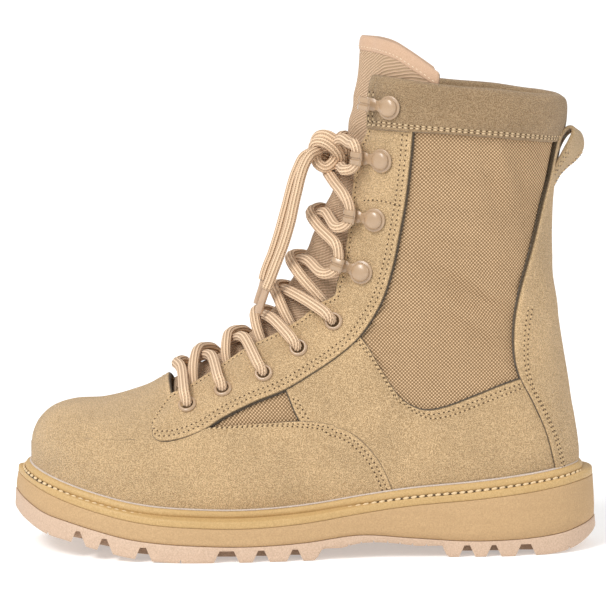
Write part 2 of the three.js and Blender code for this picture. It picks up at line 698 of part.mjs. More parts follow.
const TONGUE_CLEAR_ANGLE = 0.12;
const TONGUE_RISE = 1.6;
const TONGUE_GAP = 0.36;
function tongueHeight(station, angle) {
  const edge = Math.max(throatAngle(station) - TONGUE_CLEAR_ANGLE, 0.01);
  const turn = Math.min(1, Math.abs(angle) / edge);
  const crown = Math.cos((turn * Math.PI) / 2) ** 2;
  const start = throatStops[0].station;
  const growth = THREE.MathUtils.smoothstep(station, start, start + TONGUE_RISE);
  return TONGUE_PUFF * crown * growth - WALL - TONGUE_GAP;
}

function makeTongue() {
  const outer = skin(tongueHeight);
  const inner = skin((station, angle) => tongueHeight(station, angle) - TONGUE_THICKNESS);
  const openThroat = sidePlate(growOutline(OUTLINES.throat, -GAP));
  const clearOf = skin(thickestPanel + GAP).subtract(skin(-WALL - GAP)).subtract(openThroat);
  return outer.subtract(inner).intersect(plates.tongue).subtract(clearOf);
}

function makeInsole() {
  const slab = between(heightRun(weltZ, GAP), heightRun(weltZ, GAP + INSOLE_THICKNESS));
  return skin(-WALL - GAP).intersect(slab);
}

// Lace hardware

const ROUND_SIDES = 8;
const EYELETS = [
  [0.287, 1.063], [0.353, 1.166], [0.426, 1.277], [0.489, 1.449], [0.553, 1.635],
].map(lastPlace);
const HOOKS = [[0.599, 1.966], [0.624, 2.251], [0.634, 2.569], [0.652, 2.843]].map(lastPlace);

function lathe(profile, segments) {
  const places = profile.map(([radius, z]) => new THREE.Vector2(radius, z));
  const geometry = new THREE.LatheGeometry(places, segments);
  geometry.rotateX(Math.PI / 2);
  return toSolid(geometry);
}

const EYELET_BARREL = GAP + EYESTAY_THICKNESS;
const eyelet = lathe([
  [EYELET_HOLE / 2, -EYELET_BARREL],
  [EYELET_HOLE / 2 + EYELET_SHELL, -EYELET_BARREL],
  [EYELET_HOLE / 2 + EYELET_SHELL, 0],
  [EYELET_DIAMETER / 2, 0],
  [EYELET_HOLE / 2, EYELET_FLANGE],
  [EYELET_HOLE / 2, -EYELET_BARREL],
], ROUND_SIDES);
const eyeletDrill = lathe([
  [0, -EYELET_BARREL * 2],
  [EYELET_HOLE / 2 + EYELET_SHELL + GAP, -EYELET_BARREL * 2],
  [EYELET_HOLE / 2 + EYELET_SHELL + GAP, EYELET_BARREL],
  [0, EYELET_BARREL],
], ROUND_SIDES);

// A speed hook: a rivet plate and cap, and a flat arm that curls outwards and back at its front end
const hook = (() => {
  const arm = new THREE.Shape();
  const bend = HOOK_LENGTH - HOOK_CURL;
  arm.moveTo(0, 0);
  arm.absarc(bend, HOOK_CURL, HOOK_CURL, -Math.PI / 2, Math.PI / 2, false);
  arm.lineTo(bend - HOOK_LIP, 2 * HOOK_CURL);
  arm.lineTo(bend - HOOK_LIP, 2 * HOOK_CURL - HOOK_METAL);
  arm.absarc(bend, HOOK_CURL, HOOK_CURL - HOOK_METAL, Math.PI / 2, -Math.PI / 2, true);
  arm.lineTo(0, HOOK_METAL);
  const options = { depth: HOOK_WIDTH, bevelEnabled: false, curveSegments: 3 };
  const geometry = new THREE.ExtrudeGeometry(arm, options);
  geometry.rotateX(Math.PI / 2);
  geometry.translate(0, HOOK_WIDTH / 2, 0);
  const rivet = lathe([
    [0, 0],
    [RIVET_PLATE / 2, 0],
    [RIVET_PLATE / 2, HOOK_METAL],
    [RIVET_CAP / 2, HOOK_METAL + RIVET_SHOULDER],
    [0, HOOK_METAL + RIVET_HEIGHT],
  ], ROUND_SIDES);
  return toSolid(geometry).add(rivet);
})();

// Laces

// Where the lace meets an eyelet or a hook
function laceSeat(place, side) {
  const seat = findOnLast(place, side);
  const step = 0.05;
  const before = raisedPoint(seat.station, seat.angle - step, EYESTAY_OUTER);
  const perTurn = before.distanceTo(raisedPoint(seat.station, seat.angle + step, EYESTAY_OUTER)) / (2 * step);
  const edge = side * throatAngle(seat.station) - (side * LACE_EDGE_CLEARANCE) / perTurn;
  return { ...seat, side, edge, hooked: seat.angle - (side * HOOK_LENGTH) / perTurn };
}

// The place beside a hook's curl, above it or below it
function besideHook(seat, direction, pass) {
  const reach = new THREE.Vector3(HOOK_LENGTH - HOOK_CURL, direction * seat.side * pass, HOOK_CURL);
  return reach.applyMatrix4(seatFrame(seat, EYESTAY_OUTER + HOOK_SEAT));
}

// A run of lace over the last, between two seats or between places beside two hooks
function laceRun(start, end, { sag = 0, bow = 0 } = {}) {
  const points = [];
  for (let index = 0; index <= LACE_POINTS; index += 1) {
    const share = index / LACE_POINTS;
    const swell = 4 * share * (1 - share);
    const station = THREE.MathUtils.lerp(start.station, end.station, share) + bow * swell;
    const angle = THREE.MathUtils.lerp(start.angle, end.angle, share);
    const height = THREE.MathUtils.lerp(start.height, end.height, share * share) - sag * swell;
    points.push(raisedPoint(station, angle, height));
  }
  if (start.place) {
    points.splice(0, 2, start.place);
  }
  if (end.place) {
    points.splice(-2, 2, end.place);
  }
  return tube(points, LACE_DIAMETER, LACE_SIDES, LACE_STEPS);
}

function overEyelet({ station, angle }) {
  return { station, angle, height: OVER_EYELET };
}

function underFacing({ station, edge }) {
  return { station, angle: edge, height: UNDER_FACING };
}

function atHook(seat, direction, pass) {
  const place = besideHook(seat, direction, pass);
  return { station: seat.station, angle: seat.hooked, height: IN_HOOK, place };
}

const TOP_TIED = HOOKS.length - 2;

function makeCrossing(row) {
  const rows = [...EYELETS, ...HOOKS];
  const fromHook = row >= EYELETS.length;
  const toHook = row + 1 >= EYELETS.length;
  const pass = row + 1 === EYELETS.length + TOP_TIED ? TIED_PASS : HOOK_PASS;
  const strands = [-1, 1].map((side) => {
    const from = laceSeat(rows[row], side);
    const to = laceSeat(rows[row + 1], -side);
    if (row === 0) {
      return laceRun(underFacing(from), underFacing(to), { sag: -FIRST_RISE, bow: FIRST_BOW });
    }
    const start = fromHook ? atHook(from, 1, pass) : overEyelet(from);
    const end = toHook ? atHook(to, -1, pass) : underFacing(to);
    return laceRun(start, end, fromHook ? { sag: HOOK_SAG, bow: HOOK_BOW } : {});
  });
  return strands[0].add(strands[1]);
}

function makeLaceBar() {
  const [lateral, medial] = [-1, 1].map((side) => overEyelet(laceSeat(EYELETS[0], side)));
  return laceRun(lateral, medial, { sag: BAR_SAG, bow: BAR_BOW });
}

const KNOT_PLACE = new THREE.Vector3(9.2, 0.5, 209.9);

function knotBall(radius) {
  const ball = toSolid(new THREE.SphereGeometry(radius, 10, 6));
  return ball.translate(KNOT_PLACE.toArray());
}

function makeTie(side) {
  const seat = laceSeat(HOOKS[TOP_TIED], side);
  const points = TIE_RUN.map(({ rise, turn, height }) => (
    raisedPoint(seat.station + rise, seat.hooked * turn, height)
  ));
  const start = besideHook(seat, 1, HOOK_PASS);
  const run = tube([start, ...points, KNOT_PLACE], LACE_DIAMETER, ROUND_SIDES, 8);
  return run.subtract(knotBall(KNOT_SIZE / 2 + GAP));
}

// The free ends hang from the knot and lean on the instep. Their points are places in millimetres.
const END_FRONT = [
  [6.0, -5.5, 209.3], [2.7, -8, 205.7], [-0.3, -10, 200.7], [-2.3, -12, 194.8], [-3.9, -13, 188.2],
  [-5.6, -13.5, 180.9], [-7.1, -14, 173.6], [-8.9, -14, 166.9], [-11.2, -14, 159.6], [-13.5, -14, 153.6],
  [-15.8, -14, 147.6], [-17.7, -14, 142.6], [-20.2, -14, 136.3], [-22.5, -14, 129.6], [-24.2, -14, 124.0],
];
const END_BACK = [
  [3.4, 1, 208.7], [-0.3, -0.5, 204.4], [-3.6, -3, 199.1], [-5.9, -5, 193.1], [-7.6, -6.5, 187.1],
  [-9.2, -7.2, 180.8], [-10.9, -7.8, 174.5], [-12.7, -8, 167.8], [-14.7, -8, 161.2], [-16.9, -8, 154.5],
  [-19.1, -8, 149.1], [-20.9, -8, 143.8], [-22.2, -8, 137.8], [-23.9, -8, 132.4], [-25.1, -8, 128.4],
];

function makeLaceEnd(points) {
  const corners = points.map(([x, y, z]) => new THREE.Vector3(x, y, z));
  const whole = new THREE.CatmullRomCurve3(corners, false, 'centripetal');
  const length = whole.getLength();
  const run = (from, to, pieces) => {
    const places = [];
    for (let index = 0; index <= pieces; index += 1) {
      const stop = (from + ((to - from) * index) / pieces) / length;
      places.push(whole.getPointAt(THREE.MathUtils.clamp(stop, 0, 1)));
    }
    return places;
  };
  const cord = tube(run(0, length - TIP_LENGTH - GAP, 12), LACE_DIAMETER, ROUND_SIDES, 16);
  const tip = tube(run(length - TIP_LENGTH, length, 3), TIP_DIAMETER, ROUND_SIDES, 3);
  return { cord: cord.subtract(knotBall(KNOT_SIZE / 2 + GAP)), tip };
}

// Pull loop: a strap bowed out from the cuff's edge to the backstay
const LOOP_RUN = [
  [0.955, 2.680], [0.984, 2.737], [0.999, 2.764], [1.015, 2.742], [1.023, 2.672], [1.019, 2.586],
  [0.999, 2.510], [0.981, 2.456], [0.960, 2.390],
].map(lastPlace);

function makePullLoop() {
  const outer = smoothRun(LOOP_RUN, 14);
  const band = [...outer, ...growOutline(outer, LOOP_THICKNESS).toReversed()];
  const middle = BALL_WIDTH * sectionAt(LAST_STATION).middle;
  const strap = sidePlate(band, middle - LOOP_WIDTH / 2, middle + LOOP_WIDTH / 2);
  const centre = [LOOP_RUN[0].x, middle, 0];
  const turned = strap.translate(centre.map((value) => -value)).rotate([0, 0, LOOP_TWIST]).translate(centre);
  const clearOfBackstay = turned.subtract(skin(2 * GAP + BACKSTAY_THICKNESS));
  return clearOfBackstay.subtract(skin(2 * GAP + CUFF_THICKNESS).intersect(grown.cuff));
}

// Assembly

function drilled(panel) {
  const drills = EYELETS.flatMap((place) => [-1, 1].map((side) => (
    seatOnLast(eyeletDrill, findOnLast(place, side), EYESTAY_OUTER + GAP)
  )));
  return panel.subtract(wasm.Manifold.union(drills));
}

addPart('outsole', makeOutsole(), RUBBER, 0.75);
addPart('midsole', makeMidsole(), FOAM, 0.85);
addPart('welt', makeWelt(skin(thickestPanel + GAP), skin(thickestPanel + GAP + BEAD_WIDTH)), WELTING, 0.7);
addPart('insole', makeInsole(), LINING);
addPart('upper', makeUpper(), NYLON);
addPart('vamp', makePanel('vamp', ['eyestay']), SUEDE);
const quarter = makePanel('quarter', ['eyestay', 'vamp', 'backstay']);
const eyestay = drilled(makePanel('eyestay', ['cuff']));
for (const [name, side] of [['lateral', -1], ['medial', 1]]) {
  addPart(`quarter_${name}`, oneSide(quarter, side), SUEDE);
  addPart(`eyestay_${name}`, oneSide(eyestay, side), SUEDE);
}
addPart('backstay', makePanel('backstay', ['cuff']), SUEDE);
addPart('cuff', makePanel('cuff', []), CUFF_SUEDE);
addPart('tongue', makeTongue(), NYLON);
addPart('pull_loop', makePullLoop(), SUEDE);

for (const [name, side] of [['lateral', -1], ['medial', 1]]) {
  EYELETS.forEach((place, index) => {
    const seated = seatOnLast(eyelet, findOnLast(place, side), EYESTAY_OUTER + EYELET_SEAT);
    addPart(`eyelet_${name}_${index + 1}`, seated, ENAMEL, 0.45, 0.4);
  });
  HOOKS.forEach((place, index) => {
    const carrier = index === HOOKS.length - 1 ? GAP + CUFF_THICKNESS : EYESTAY_OUTER;
    const seated = seatOnLast(hook, findOnLast(place, side), carrier + HOOK_SEAT);
    addPart(`hook_${name}_${index + 1}`, seated, ENAMEL, 0.45, 0.4);
  });
  addPart(`lace_tie_${name}`, makeTie(side), LACE);
}

addPart('lace_bar', makeLaceBar(), LACE);
for (let row = 0; row < EYELETS.length + TOP_TIED; row += 1) {
  addPart(`lace_crossing_${row + 1}`, makeCrossing(row), LACE);
}
addPart('lace_knot', knotBall(KNOT_SIZE / 2), LACE);
for (const [name, points] of [['front', END_FRONT], ['back', END_BACK]]) {
  const { cord, tip } = makeLaceEnd(points);
  addPart(`lace_end_${name}`, cord, LACE);
  addPart(`lace_tip_${name}`, tip, ENAMEL);
}

export default group;
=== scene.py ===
import math

import bpy
import numpy as np
from mathutils import Matrix, Vector


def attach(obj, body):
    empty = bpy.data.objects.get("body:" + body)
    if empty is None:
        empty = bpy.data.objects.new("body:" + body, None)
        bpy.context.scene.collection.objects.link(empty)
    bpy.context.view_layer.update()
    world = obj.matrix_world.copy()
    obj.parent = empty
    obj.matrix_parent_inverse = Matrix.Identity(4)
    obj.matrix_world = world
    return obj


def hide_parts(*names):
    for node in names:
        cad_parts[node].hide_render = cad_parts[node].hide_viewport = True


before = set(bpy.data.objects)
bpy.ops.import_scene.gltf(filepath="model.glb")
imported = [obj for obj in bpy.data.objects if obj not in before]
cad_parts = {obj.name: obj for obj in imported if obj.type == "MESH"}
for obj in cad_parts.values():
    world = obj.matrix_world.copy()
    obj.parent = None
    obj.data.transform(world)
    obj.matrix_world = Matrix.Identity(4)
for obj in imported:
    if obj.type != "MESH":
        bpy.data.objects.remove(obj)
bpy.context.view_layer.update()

# The boot is drawn on its last, in millimetres. Meshes are written in metres.
MM = 0.001

# Driving sizes of the last and the sole, as in the part
LAST_LENGTH = 283
BALL_WIDTH = 98
TOE_HEIGHT = 48
INSTEP_HEIGHT = 75.5
SHAFT_HEIGHT = 97
BALL_STACK = 26.5
TOE_SPRING = 18
HEEL_LIFT = 19.5
ARCH_RISE = 8
OUTSOLE_THICKNESS = 8
TOE_EDGE = 11.2
HEEL_EDGE = 12.5
SIDE_EDGE = 8.7
SOLE_LENGTH = LAST_LENGTH + TOE_EDGE + HEEL_EDGE
SOLE_WIDTH = BALL_WIDTH + 2 * SIDE_EDGE
LAST_TOE = TOE_EDGE - SOLE_LENGTH / 2

WALL = 2.2
SIDES = (("lateral", -1), ("medial", 1))


def smooth_table(places, rows):
    """A smooth function through the rows of a table, flat in curvature at both ends."""
    places = np.asarray(places, float)
    rows = np.asarray(rows, float)
    last = len(places) - 1

    def at(place):
        place = np.clip(np.asarray(place, float), places[0], places[-1])
        after = np.clip(np.searchsorted(places, place, side="right"), 1, last)
        before = after - 1
        t0, t1 = places[before], places[after]
        first, final = after == 1, after == last
        i_prev = np.where(first, after, after - 2)
        i_next = np.where(final, before, np.minimum(after + 1, last))
        half = (t1 - t0) / 2
        w_prev = half / (t0 - np.where(first, t1, places[i_prev]))
        w_next = half / (np.where(final, t0, places[i_next]) - t1)
        p = (place - t0) / (t1 - t0)
        s_prev = -w_prev * p**3 + 2 * w_prev * p**2 - w_prev * p
        s0 = (1 + w_prev) * p**3 - (1.5 + 2 * w_prev) * p**2 + (w_prev - 0.5) * p + 1
        s1 = -(1 + w_next) * p**3 + (1.5 + w_next) * p**2 + 0.5 * p
        s_next = w_next * p**3 - w_next * p**2
        weights = (s_prev, s0, s1, s_next)
        picks = (i_prev, before, after, i_next)
        return sum(w[..., None] * rows[i] for w, i in zip(weights, picks))

    return at


def last_x(share):
    return LAST_TOE + share * LAST_LENGTH


def last_z(level):
    toe = np.minimum(level, 1) * TOE_HEIGHT
    instep = np.clip(level - 1, 0, 1) * INSTEP_HEIGHT
    shaft = np.maximum(level - 2, 0) * SHAFT_HEIGHT
    return BALL_STACK + toe + instep + shaft


def side_view(rows):
    """Places in the side view from shares of the last's length and its height levels"""
    rows = np.asarray(rows, float)
    return np.stack([last_x(rows[:, 0]), last_z(rows[:, 1])], axis=1)


# Sections of the last: topX, topZ, bottomX, bottomZ, middle, lateral, medial, widest, and how square the
# upper and lower halves are
SECTIONS = [
    [0.000, 0.562, 0.000, 0.198, 0.112, 0.031, 0.031, 0.50, 2.00, 2.00],
    [0.003, 0.667, 0.003, 0.156, 0.112, 0.122, 0.112, 0.48, 2.20, 2.40],
    [0.014, 0.798, 0.014, 0.094, 0.112, 0.219, 0.194, 0.47, 2.30, 3.00],
    [0.038, 0.921, 0.038, 0.031, 0.102, 0.311, 0.268, 0.46, 2.30, 3.50],
    [0.077, 0.992, 0.077, -0.052, 0.092, 0.403, 0.335, 0.45, 2.30, 4.00],
    [0.131, 1.009, 0.131, -0.146, 0.082, 0.480, 0.386, 0.44, 2.25, 4.00],
    [0.195, 1.078, 0.195, -0.219, 0.061, 0.527, 0.431, 0.43, 2.10, 4.00],
    [0.262, 1.205, 0.262, -0.260, 0.046, 0.538, 0.434, 0.43, 1.95, 4.00],
    [0.340, 1.323, 0.347, -0.271, 0.036, 0.526, 0.403, 0.44, 1.85, 4.00],
    [0.396, 1.454, 0.439, -0.260, 0.031, 0.490, 0.357, 0.45, 1.80, 4.00],
    [0.439, 1.608, 0.566, -0.198, 0.031, 0.444, 0.327, 0.46, 1.80, 4.00],
    [0.470, 1.766, 0.721, -0.135, 0.036, 0.403, 0.327, 0.48, 1.85, 4.00],
    [0.493, 1.927, 0.877, -0.052, 0.041, 0.393, 0.342, 0.50, 1.90, 3.60],
    [0.514, 2.067, 0.972, 0.094, 0.046, 0.393, 0.352, 0.50, 1.95, 2.80],
    [0.533, 2.186, 1.001, 0.365, 0.046, 0.391, 0.357, 0.50, 2.00, 2.50],
    [0.550, 2.309, 0.993, 0.865, 0.046, 0.393, 0.357, 0.50, 2.05, 2.40],
    [0.567, 2.433, 0.976, 1.285, 0.046, 0.398, 0.352, 0.50, 2.10, 2.30],
    [0.579, 2.567, 0.959, 1.682, 0.041, 0.403, 0.352, 0.50, 2.15, 2.20],
    [0.588, 2.701, 0.949, 2.103, 0.041, 0.413, 0.352, 0.50, 2.20, 2.15],
    [0.596, 2.825, 0.953, 2.433, 0.041, 0.423, 0.357, 0.50, 2.25, 2.15],
    [0.603, 2.948, 0.970, 2.742, 0.041, 0.429, 0.362, 0.50, 2.30, 2.15],
    [0.615, 3.237, 0.985, 3.237, 0.041, 0.434, 0.367, 0.50, 2.30, 2.15],
]
LAST_STATION = len(SECTIONS) - 1
section_at = smooth_table(range(len(SECTIONS)), SECTIONS)


def last_point(station, angle):
    """A point of the last. The angle is 0 on the top line and negative on the lateral side."""
    station, angle = np.broadcast_arrays(np.asarray(station, float), np.asarray(angle, float))
    row = np.moveaxis(section_at(np.clip(station, 0, LAST_STATION)), -1, 0)
    top_x, top_z, bottom_x, bottom_z, middle, lateral, medial, widest, upper_round, lower_round = row
    upper = np.cos(angle) >= 0
    power = 2 / np.where(upper, upper_round, lower_round)
    along = np.abs(np.cos(angle)) ** power
    across = np.abs(np.sin(angle)) ** power
    share = np.where(upper, widest + (1 - widest) * along, widest * (1 - along))
    side = np.where(np.sin(angle) < 0, -lateral, medial)
    x0, z0 = last_x(bottom_x), last_z(bottom_z)
    x1, z1 = last_x(top_x), last_z(top_z)
    return np.stack(
        [x0 + (x1 - x0) * share, BALL_WIDTH * (middle + side * across), z0 + (z1 - z0) * share], axis=-1
    )


def unit(vectors):
    length = np.linalg.norm(vectors, axis=-1, keepdims=True)
    return vectors / np.maximum(length, 1e-9)


def last_normal(station, angle):
    step = 0.03
    forward = last_point(station + step, angle) - last_point(station - step, angle)
    around = last_point(station, angle + step) - last_point(station, angle - step)
    return unit(np.cross(forward, around))


def raised_point(station, angle, height):
    station, angle = np.asarray(station, float), np.asarray(angle, float)
    height = np.asarray(height, float)[..., None]
    return last_point(station, angle) + last_normal(station, angle) * height


def find_on_last(places, side):
    """The section and the angle whose points have given places in the side view"""
    places = np.asarray(places, float)

    def chord(station):
        row = section_at(station)
        bottom = np.stack([last_x(row[..., 2]), last_z(row[..., 3])], axis=-1)
        top = np.stack([last_x(row[..., 0]), last_z(row[..., 1])], axis=-1)
        return row, bottom, top - bottom

    low = np.zeros(len(places))
    high = np.full(len(places), float(LAST_STATION))
    for _ in range(40):
        middle = (low + high) / 2
        _, bottom, rise = chord(middle)
        away = places - bottom
        behind = rise[:, 0] * away[:, 1] - rise[:, 1] * away[:, 0] < 0
        low = np.where(behind, middle, low)
        high = np.where(behind, high, middle)
    row, bottom, rise = chord(low)
    share = np.sum((places - bottom) * rise, axis=1) / np.sum(rise * rise, axis=1)
    widest = row[:, 7]
    upper = share >= widest
    along = np.where(upper, (share - widest) / (1 - widest), 1 - share / widest)
    power = np.where(upper, row[:, 8], row[:, 9]) / 2
    turn = np.arccos(np.clip(along, 0, 1) ** power)
    return low, side * np.where(upper, turn, math.pi - turn)


def smooth_run(points, count):
    """Evenly spaced points on a smooth curve through a few"""
    points = np.asarray(points, float)
    steps = np.linalg.norm(np.diff(points, axis=0), axis=1)
    places = np.concatenate([[0], np.cumsum(np.sqrt(steps))])
    curve = smooth_table(places, points)
    dense = curve(np.linspace(0, places[-1], 40 * len(points)))
    length = np.concatenate([[0], np.cumsum(np.linalg.norm(np.diff(dense, axis=0), axis=1))])
    even = np.linspace(0, length[-1], count)
    return np.stack([np.interp(even, length, dense[:, axis]) for axis in range(dense.shape[1])], axis=1)


def run_length(points):
    return float(np.sum(np.linalg.norm(np.diff(points, axis=0), axis=1)))


# Heights along the sole: at, spring, ball, lift, tread, bevel, arch
LEVELS = np.array([
    [-0.045, 1.10, 1.070, 0.00, 1.30, 0, 0.00],
    [-0.017, 0.86, 1.130, 0.00, 1.32, 0, 0.00],
    [0.022, 0.60, 1.160, 0.00, 1.31, 0, 0.00],
    [0.071, 0.46, 1.100, 0.00, 1.25, 0, 0.00],
    [0.121, 0.30, 1.075, 0.00, 1.22, 0, 0.00],
    [0.177, 0.13, 1.065, 0.00, 1.19, 0, 0.00],
    [0.234, 0.03, 1.050, 0.00, 1.18, 0, 0.00],
    [0.290, 0.00, 1.030, 0.00, 1.12, 0, 0.00],
    [0.396, 0.00, 1.000, 0.00, 1.00, 0, 0.00],
    [0.502, 0.00, 1.000, 0.10, 1.16, 0, 0.00],
    [0.601, 0.00, 1.000, 0.31, 1.54, 0, 1.00],
    [0.697, 0.00, 1.000, 0.49, 1.28, 0, 0.80],
    [0.803, 0.00, 1.000, 0.62, 1.03, 0, 0.00],
    [0.909, 0.00, 1.000, 0.79, 1.12, 0, 0.00],
    [0.976, 0.00, 1.000, 0.93, 1.36, 0.12, 0.00],
    [1.006, 0.00, 1.000, 1.00, 1.60, 0.40, 0.00],
    [1.045, 0.00, 1.000, 1.06, 2.00, 1.16, 0.00],
])
level_at = smooth_table(LEVELS[:, 0], LEVELS[:, 1:])


def levels(x):
    return np.moveaxis(level_at((x - LAST_TOE) / LAST_LENGTH), -1, 0)


def feather_z(x):
    spring, ball, lift = levels(x)[:3]
    return TOE_SPRING * spring + BALL_STACK * ball + HEEL_LIFT * lift


def ledge_z(x):
    rows = levels(x)
    return TOE_SPRING * rows[0] + OUTSOLE_THICKNESS * rows[3]


def welt_z(x):
    return feather_z(x) - 10


def tread_z(x):
    at = (np.asarray(x, float) - LAST_TOE) / LAST_LENGTH
    spring, _, _, _, bevel, arch = levels(x)
    rising = np.clip((at - 0.522) / 0.012, 0, 1)
    falling = np.clip((0.762 - at) / 0.008, 0, 1)
    roof = ARCH_RISE * np.maximum(arch, 0.75) * np.minimum(rising, falling)
    toe = np.where(at < 0.29, TOE_SPRING * spring, 0)
    back = np.where(at > 0.93, OUTSOLE_THICKNESS * np.maximum(bevel, 0), 0)
    return toe + back + roof


def floor_angle(station, height_of, raise_by=0.0):
    """The angle at which the last meets a height over the sole, half a turn where it doesn't reach it"""
    station = np.asarray(station, float)
    low = np.full(station.shape, 1.2)
    high = np.full(station.shape, math.pi)
    for _ in range(30):
        middle = (low + high) / 2
        point = raised_point(station, middle, np.full(station.shape, raise_by))
        above = point[..., 2] > height_of(point[..., 0])
        low = np.where(above, middle, low)
        high = np.where(above, high, middle)
    return low


# Meshes


def deselect():
    bpy.ops.object.select_all(action="DESELECT")


def grid_piece(name, points, uv=None, closed=True, edge=None):
    """A piece laid out as rows of points, merged where they meet"""
    rows, columns = points.shape[:2]
    deselect()
    bpy.ops.mesh.primitive_grid_add(x_subdivisions=columns - 1, y_subdivisions=rows - 1, size=1)
    piece = bpy.context.object
    piece.name = name
    mesh = piece.data
    mesh.name = name
    flat = np.empty(len(mesh.vertices) * 3)
    mesh.vertices.foreach_get("co", flat)
    flat = flat.reshape(-1, 3)
    column = np.rint((flat[:, 0] + 0.5) * (columns - 1)).astype(int)
    row = np.rint((flat[:, 1] + 0.5) * (rows - 1)).astype(int)
    mesh.vertices.foreach_set("co", (points[row, column] * MM).reshape(-1))
    if uv is not None:
        corners = np.empty(len(mesh.loops), int)
        mesh.loops.foreach_get("vertex_index", corners)
        mesh.uv_layers.active.data.foreach_set("uv", uv[row, column][corners].reshape(-1))
    if edge is not None:
        mesh.attributes.new("edge", "FLOAT", "POINT").data.foreach_set("value", edge[row, column])
    bpy.ops.object.mode_set(mode="EDIT")
    bpy.ops.mesh.select_all(action="SELECT")
    bpy.ops.mesh.remove_doubles(threshold=2e-6)
    if closed:
        bpy.ops.mesh.normals_make_consistent(inside=False)
    bpy.ops.object.mode_set(mode="OBJECT")
    bpy.ops.object.shade_smooth()
    return piece


def dress(piece, finish, nodes=()):
    """Gives a piece its material, hangs it under the root and hides the CAD parts it stands in for"""
    piece.data.materials.clear()
    piece.data.materials.append(finish)
    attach(piece, "root")
    if nodes:
        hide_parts(*nodes)
    return piece


def joined(name, pieces):
    deselect()
    for piece in pieces:
        piece.select_set(True)
    bpy.context.view_layer.objects.active = pieces[0]
    if len(pieces) > 1:
        bpy.ops.object.join()
    pieces[0].name = name
    pieces[0].data.name = name
    return pieces[0]


def subdivided(piece, levels_of=1):
    deselect()
    piece.select_set(True)
    bpy.context.view_layer.objects.active = piece
    modifier = piece.modifiers.new("smooth", "SUBSURF")
    modifier.levels = levels_of
    modifier.render_levels = levels_of
    bpy.ops.object.modifier_apply(modifier=modifier.name)
    return piece


# Camera: the photograph's view of the lateral side
CAMERA_AWAY = 1.9
CAMERA_HEIGHT = 0.332
AIM_HEIGHT = 0.128
AIM_X = -0.00105
LENS = 216.8

tilt = math.atan2(CAMERA_HEIGHT - AIM_HEIGHT, CAMERA_AWAY)
bpy.ops.object.camera_add(location=(AIM_X, -CAMERA_AWAY, CAMERA_HEIGHT), rotation=(math.pi / 2 - tilt, 0, 0))
camera = bpy.context.object
camera.name = "photo_camera"
camera.data.lens = LENS
camera.data.sensor_width = 36
camera.data.clip_end = 20
bpy.context.scene.camera = camera


# Materials


class Finish:
    """A procedural material, built node by node"""

    def __init__(self, name, roughness=0.9, specular=0.3, sheen=0.0, coat=0.0):
        self.material = bpy.data.materials.new(name)
        self.material.use_nodes = True
        self.tree = self.material.node_tree
        self.shader = self.tree.nodes["Principled BSDF"]
        self.shader.inputs["Roughness"].default_value = roughness
        self.shader.inputs["Specular IOR Level"].default_value = specular
        self.shader.inputs["Sheen Weight"].default_value = sheen
        self.shader.inputs["Sheen Roughness"].default_value = 0.5
        self.shader.inputs["Coat Weight"].default_value = coat
        self.shader.inputs["Coat Roughness"].default_value = 0.25
        place = self.tree.nodes.new("ShaderNodeTexCoord")
        self.object_place = place.outputs["Object"]
        self.uv_place = place.outputs["UV"]

    def link(self, source, socket):
        if isinstance(source, bpy.types.NodeSocket):
            self.tree.links.new(source, socket)
        elif source is not None:
            socket.default_value = source

    def math(self, operation, first, second=None):
        node = self.tree.nodes.new("ShaderNodeMath")
        node.operation = operation
        self.link(first, node.inputs[0])
        self.link(second, node.inputs[1])
        return node.outputs[0]

    def noise(self, scale, detail=3.0, roughness=0.5, place=None, stretch=None):
        source = place or self.object_place
        if stretch:
            mapping = self.tree.nodes.new("ShaderNodeMapping")
            self.link(source, mapping.inputs["Vector"])
            mapping.inputs["Scale"].default_value = stretch
            source = mapping.outputs["Vector"]
        node = self.tree.nodes.new("ShaderNodeTexNoise")
        self.link(source, node.inputs["Vector"])
        node.inputs["Scale"].default_value = scale
        node.inputs["Detail"].default_value = detail
        node.inputs["Roughness"].default_value = roughness
        return node.outputs["Fac"]

    def between(self, value, low, high, to_low=0.0, to_high=1.0):
        node = self.tree.nodes.new("ShaderNodeMapRange")
        self.link(value, node.inputs["Value"])
        node.inputs["From Min"].default_value = low
        node.inputs["From Max"].default_value = high
        node.inputs["To Min"].default_value = to_low
        node.inputs["To Max"].default_value = to_high
        return node.outputs["Result"]

    def mix(self, share, first, second, blend="MIX"):
        node = self.tree.nodes.new("ShaderNodeMix")
        node.data_type = "RGBA"
        node.blend_type = blend
        self.link(share, node.inputs[0])
        for colour, socket in ((first, node.inputs[6]), (second, node.inputs[7])):
            self.link((*colour, 1) if isinstance(colour, tuple) else colour, socket)
        return node.outputs[2]

    def split(self, vector):
        node = self.tree.nodes.new("ShaderNodeSeparateXYZ")
        self.link(vector, node.inputs[0])
        return node.outputs

    def bump(self, height, depth, before=None):
        node = self.tree.nodes.new("ShaderNodeBump")
        node.inputs["Strength"].default_value = 1.0
        node.inputs["Distance"].default_value = depth
        self.link(height, node.inputs["Height"])
        if before:
            self.link(before, node.inputs["Normal"])
        return node.outputs["Normal"]

    def done(self, colour, normal=None, roughness=None):
        self.link((*colour, 1) if isinstance(colour, tuple) else colour, self.shader.inputs["Base Color"])
        self.link(normal, self.shader.inputs["Normal"])
        self.link(roughness, self.shader.inputs["Roughness"])
        return self.material


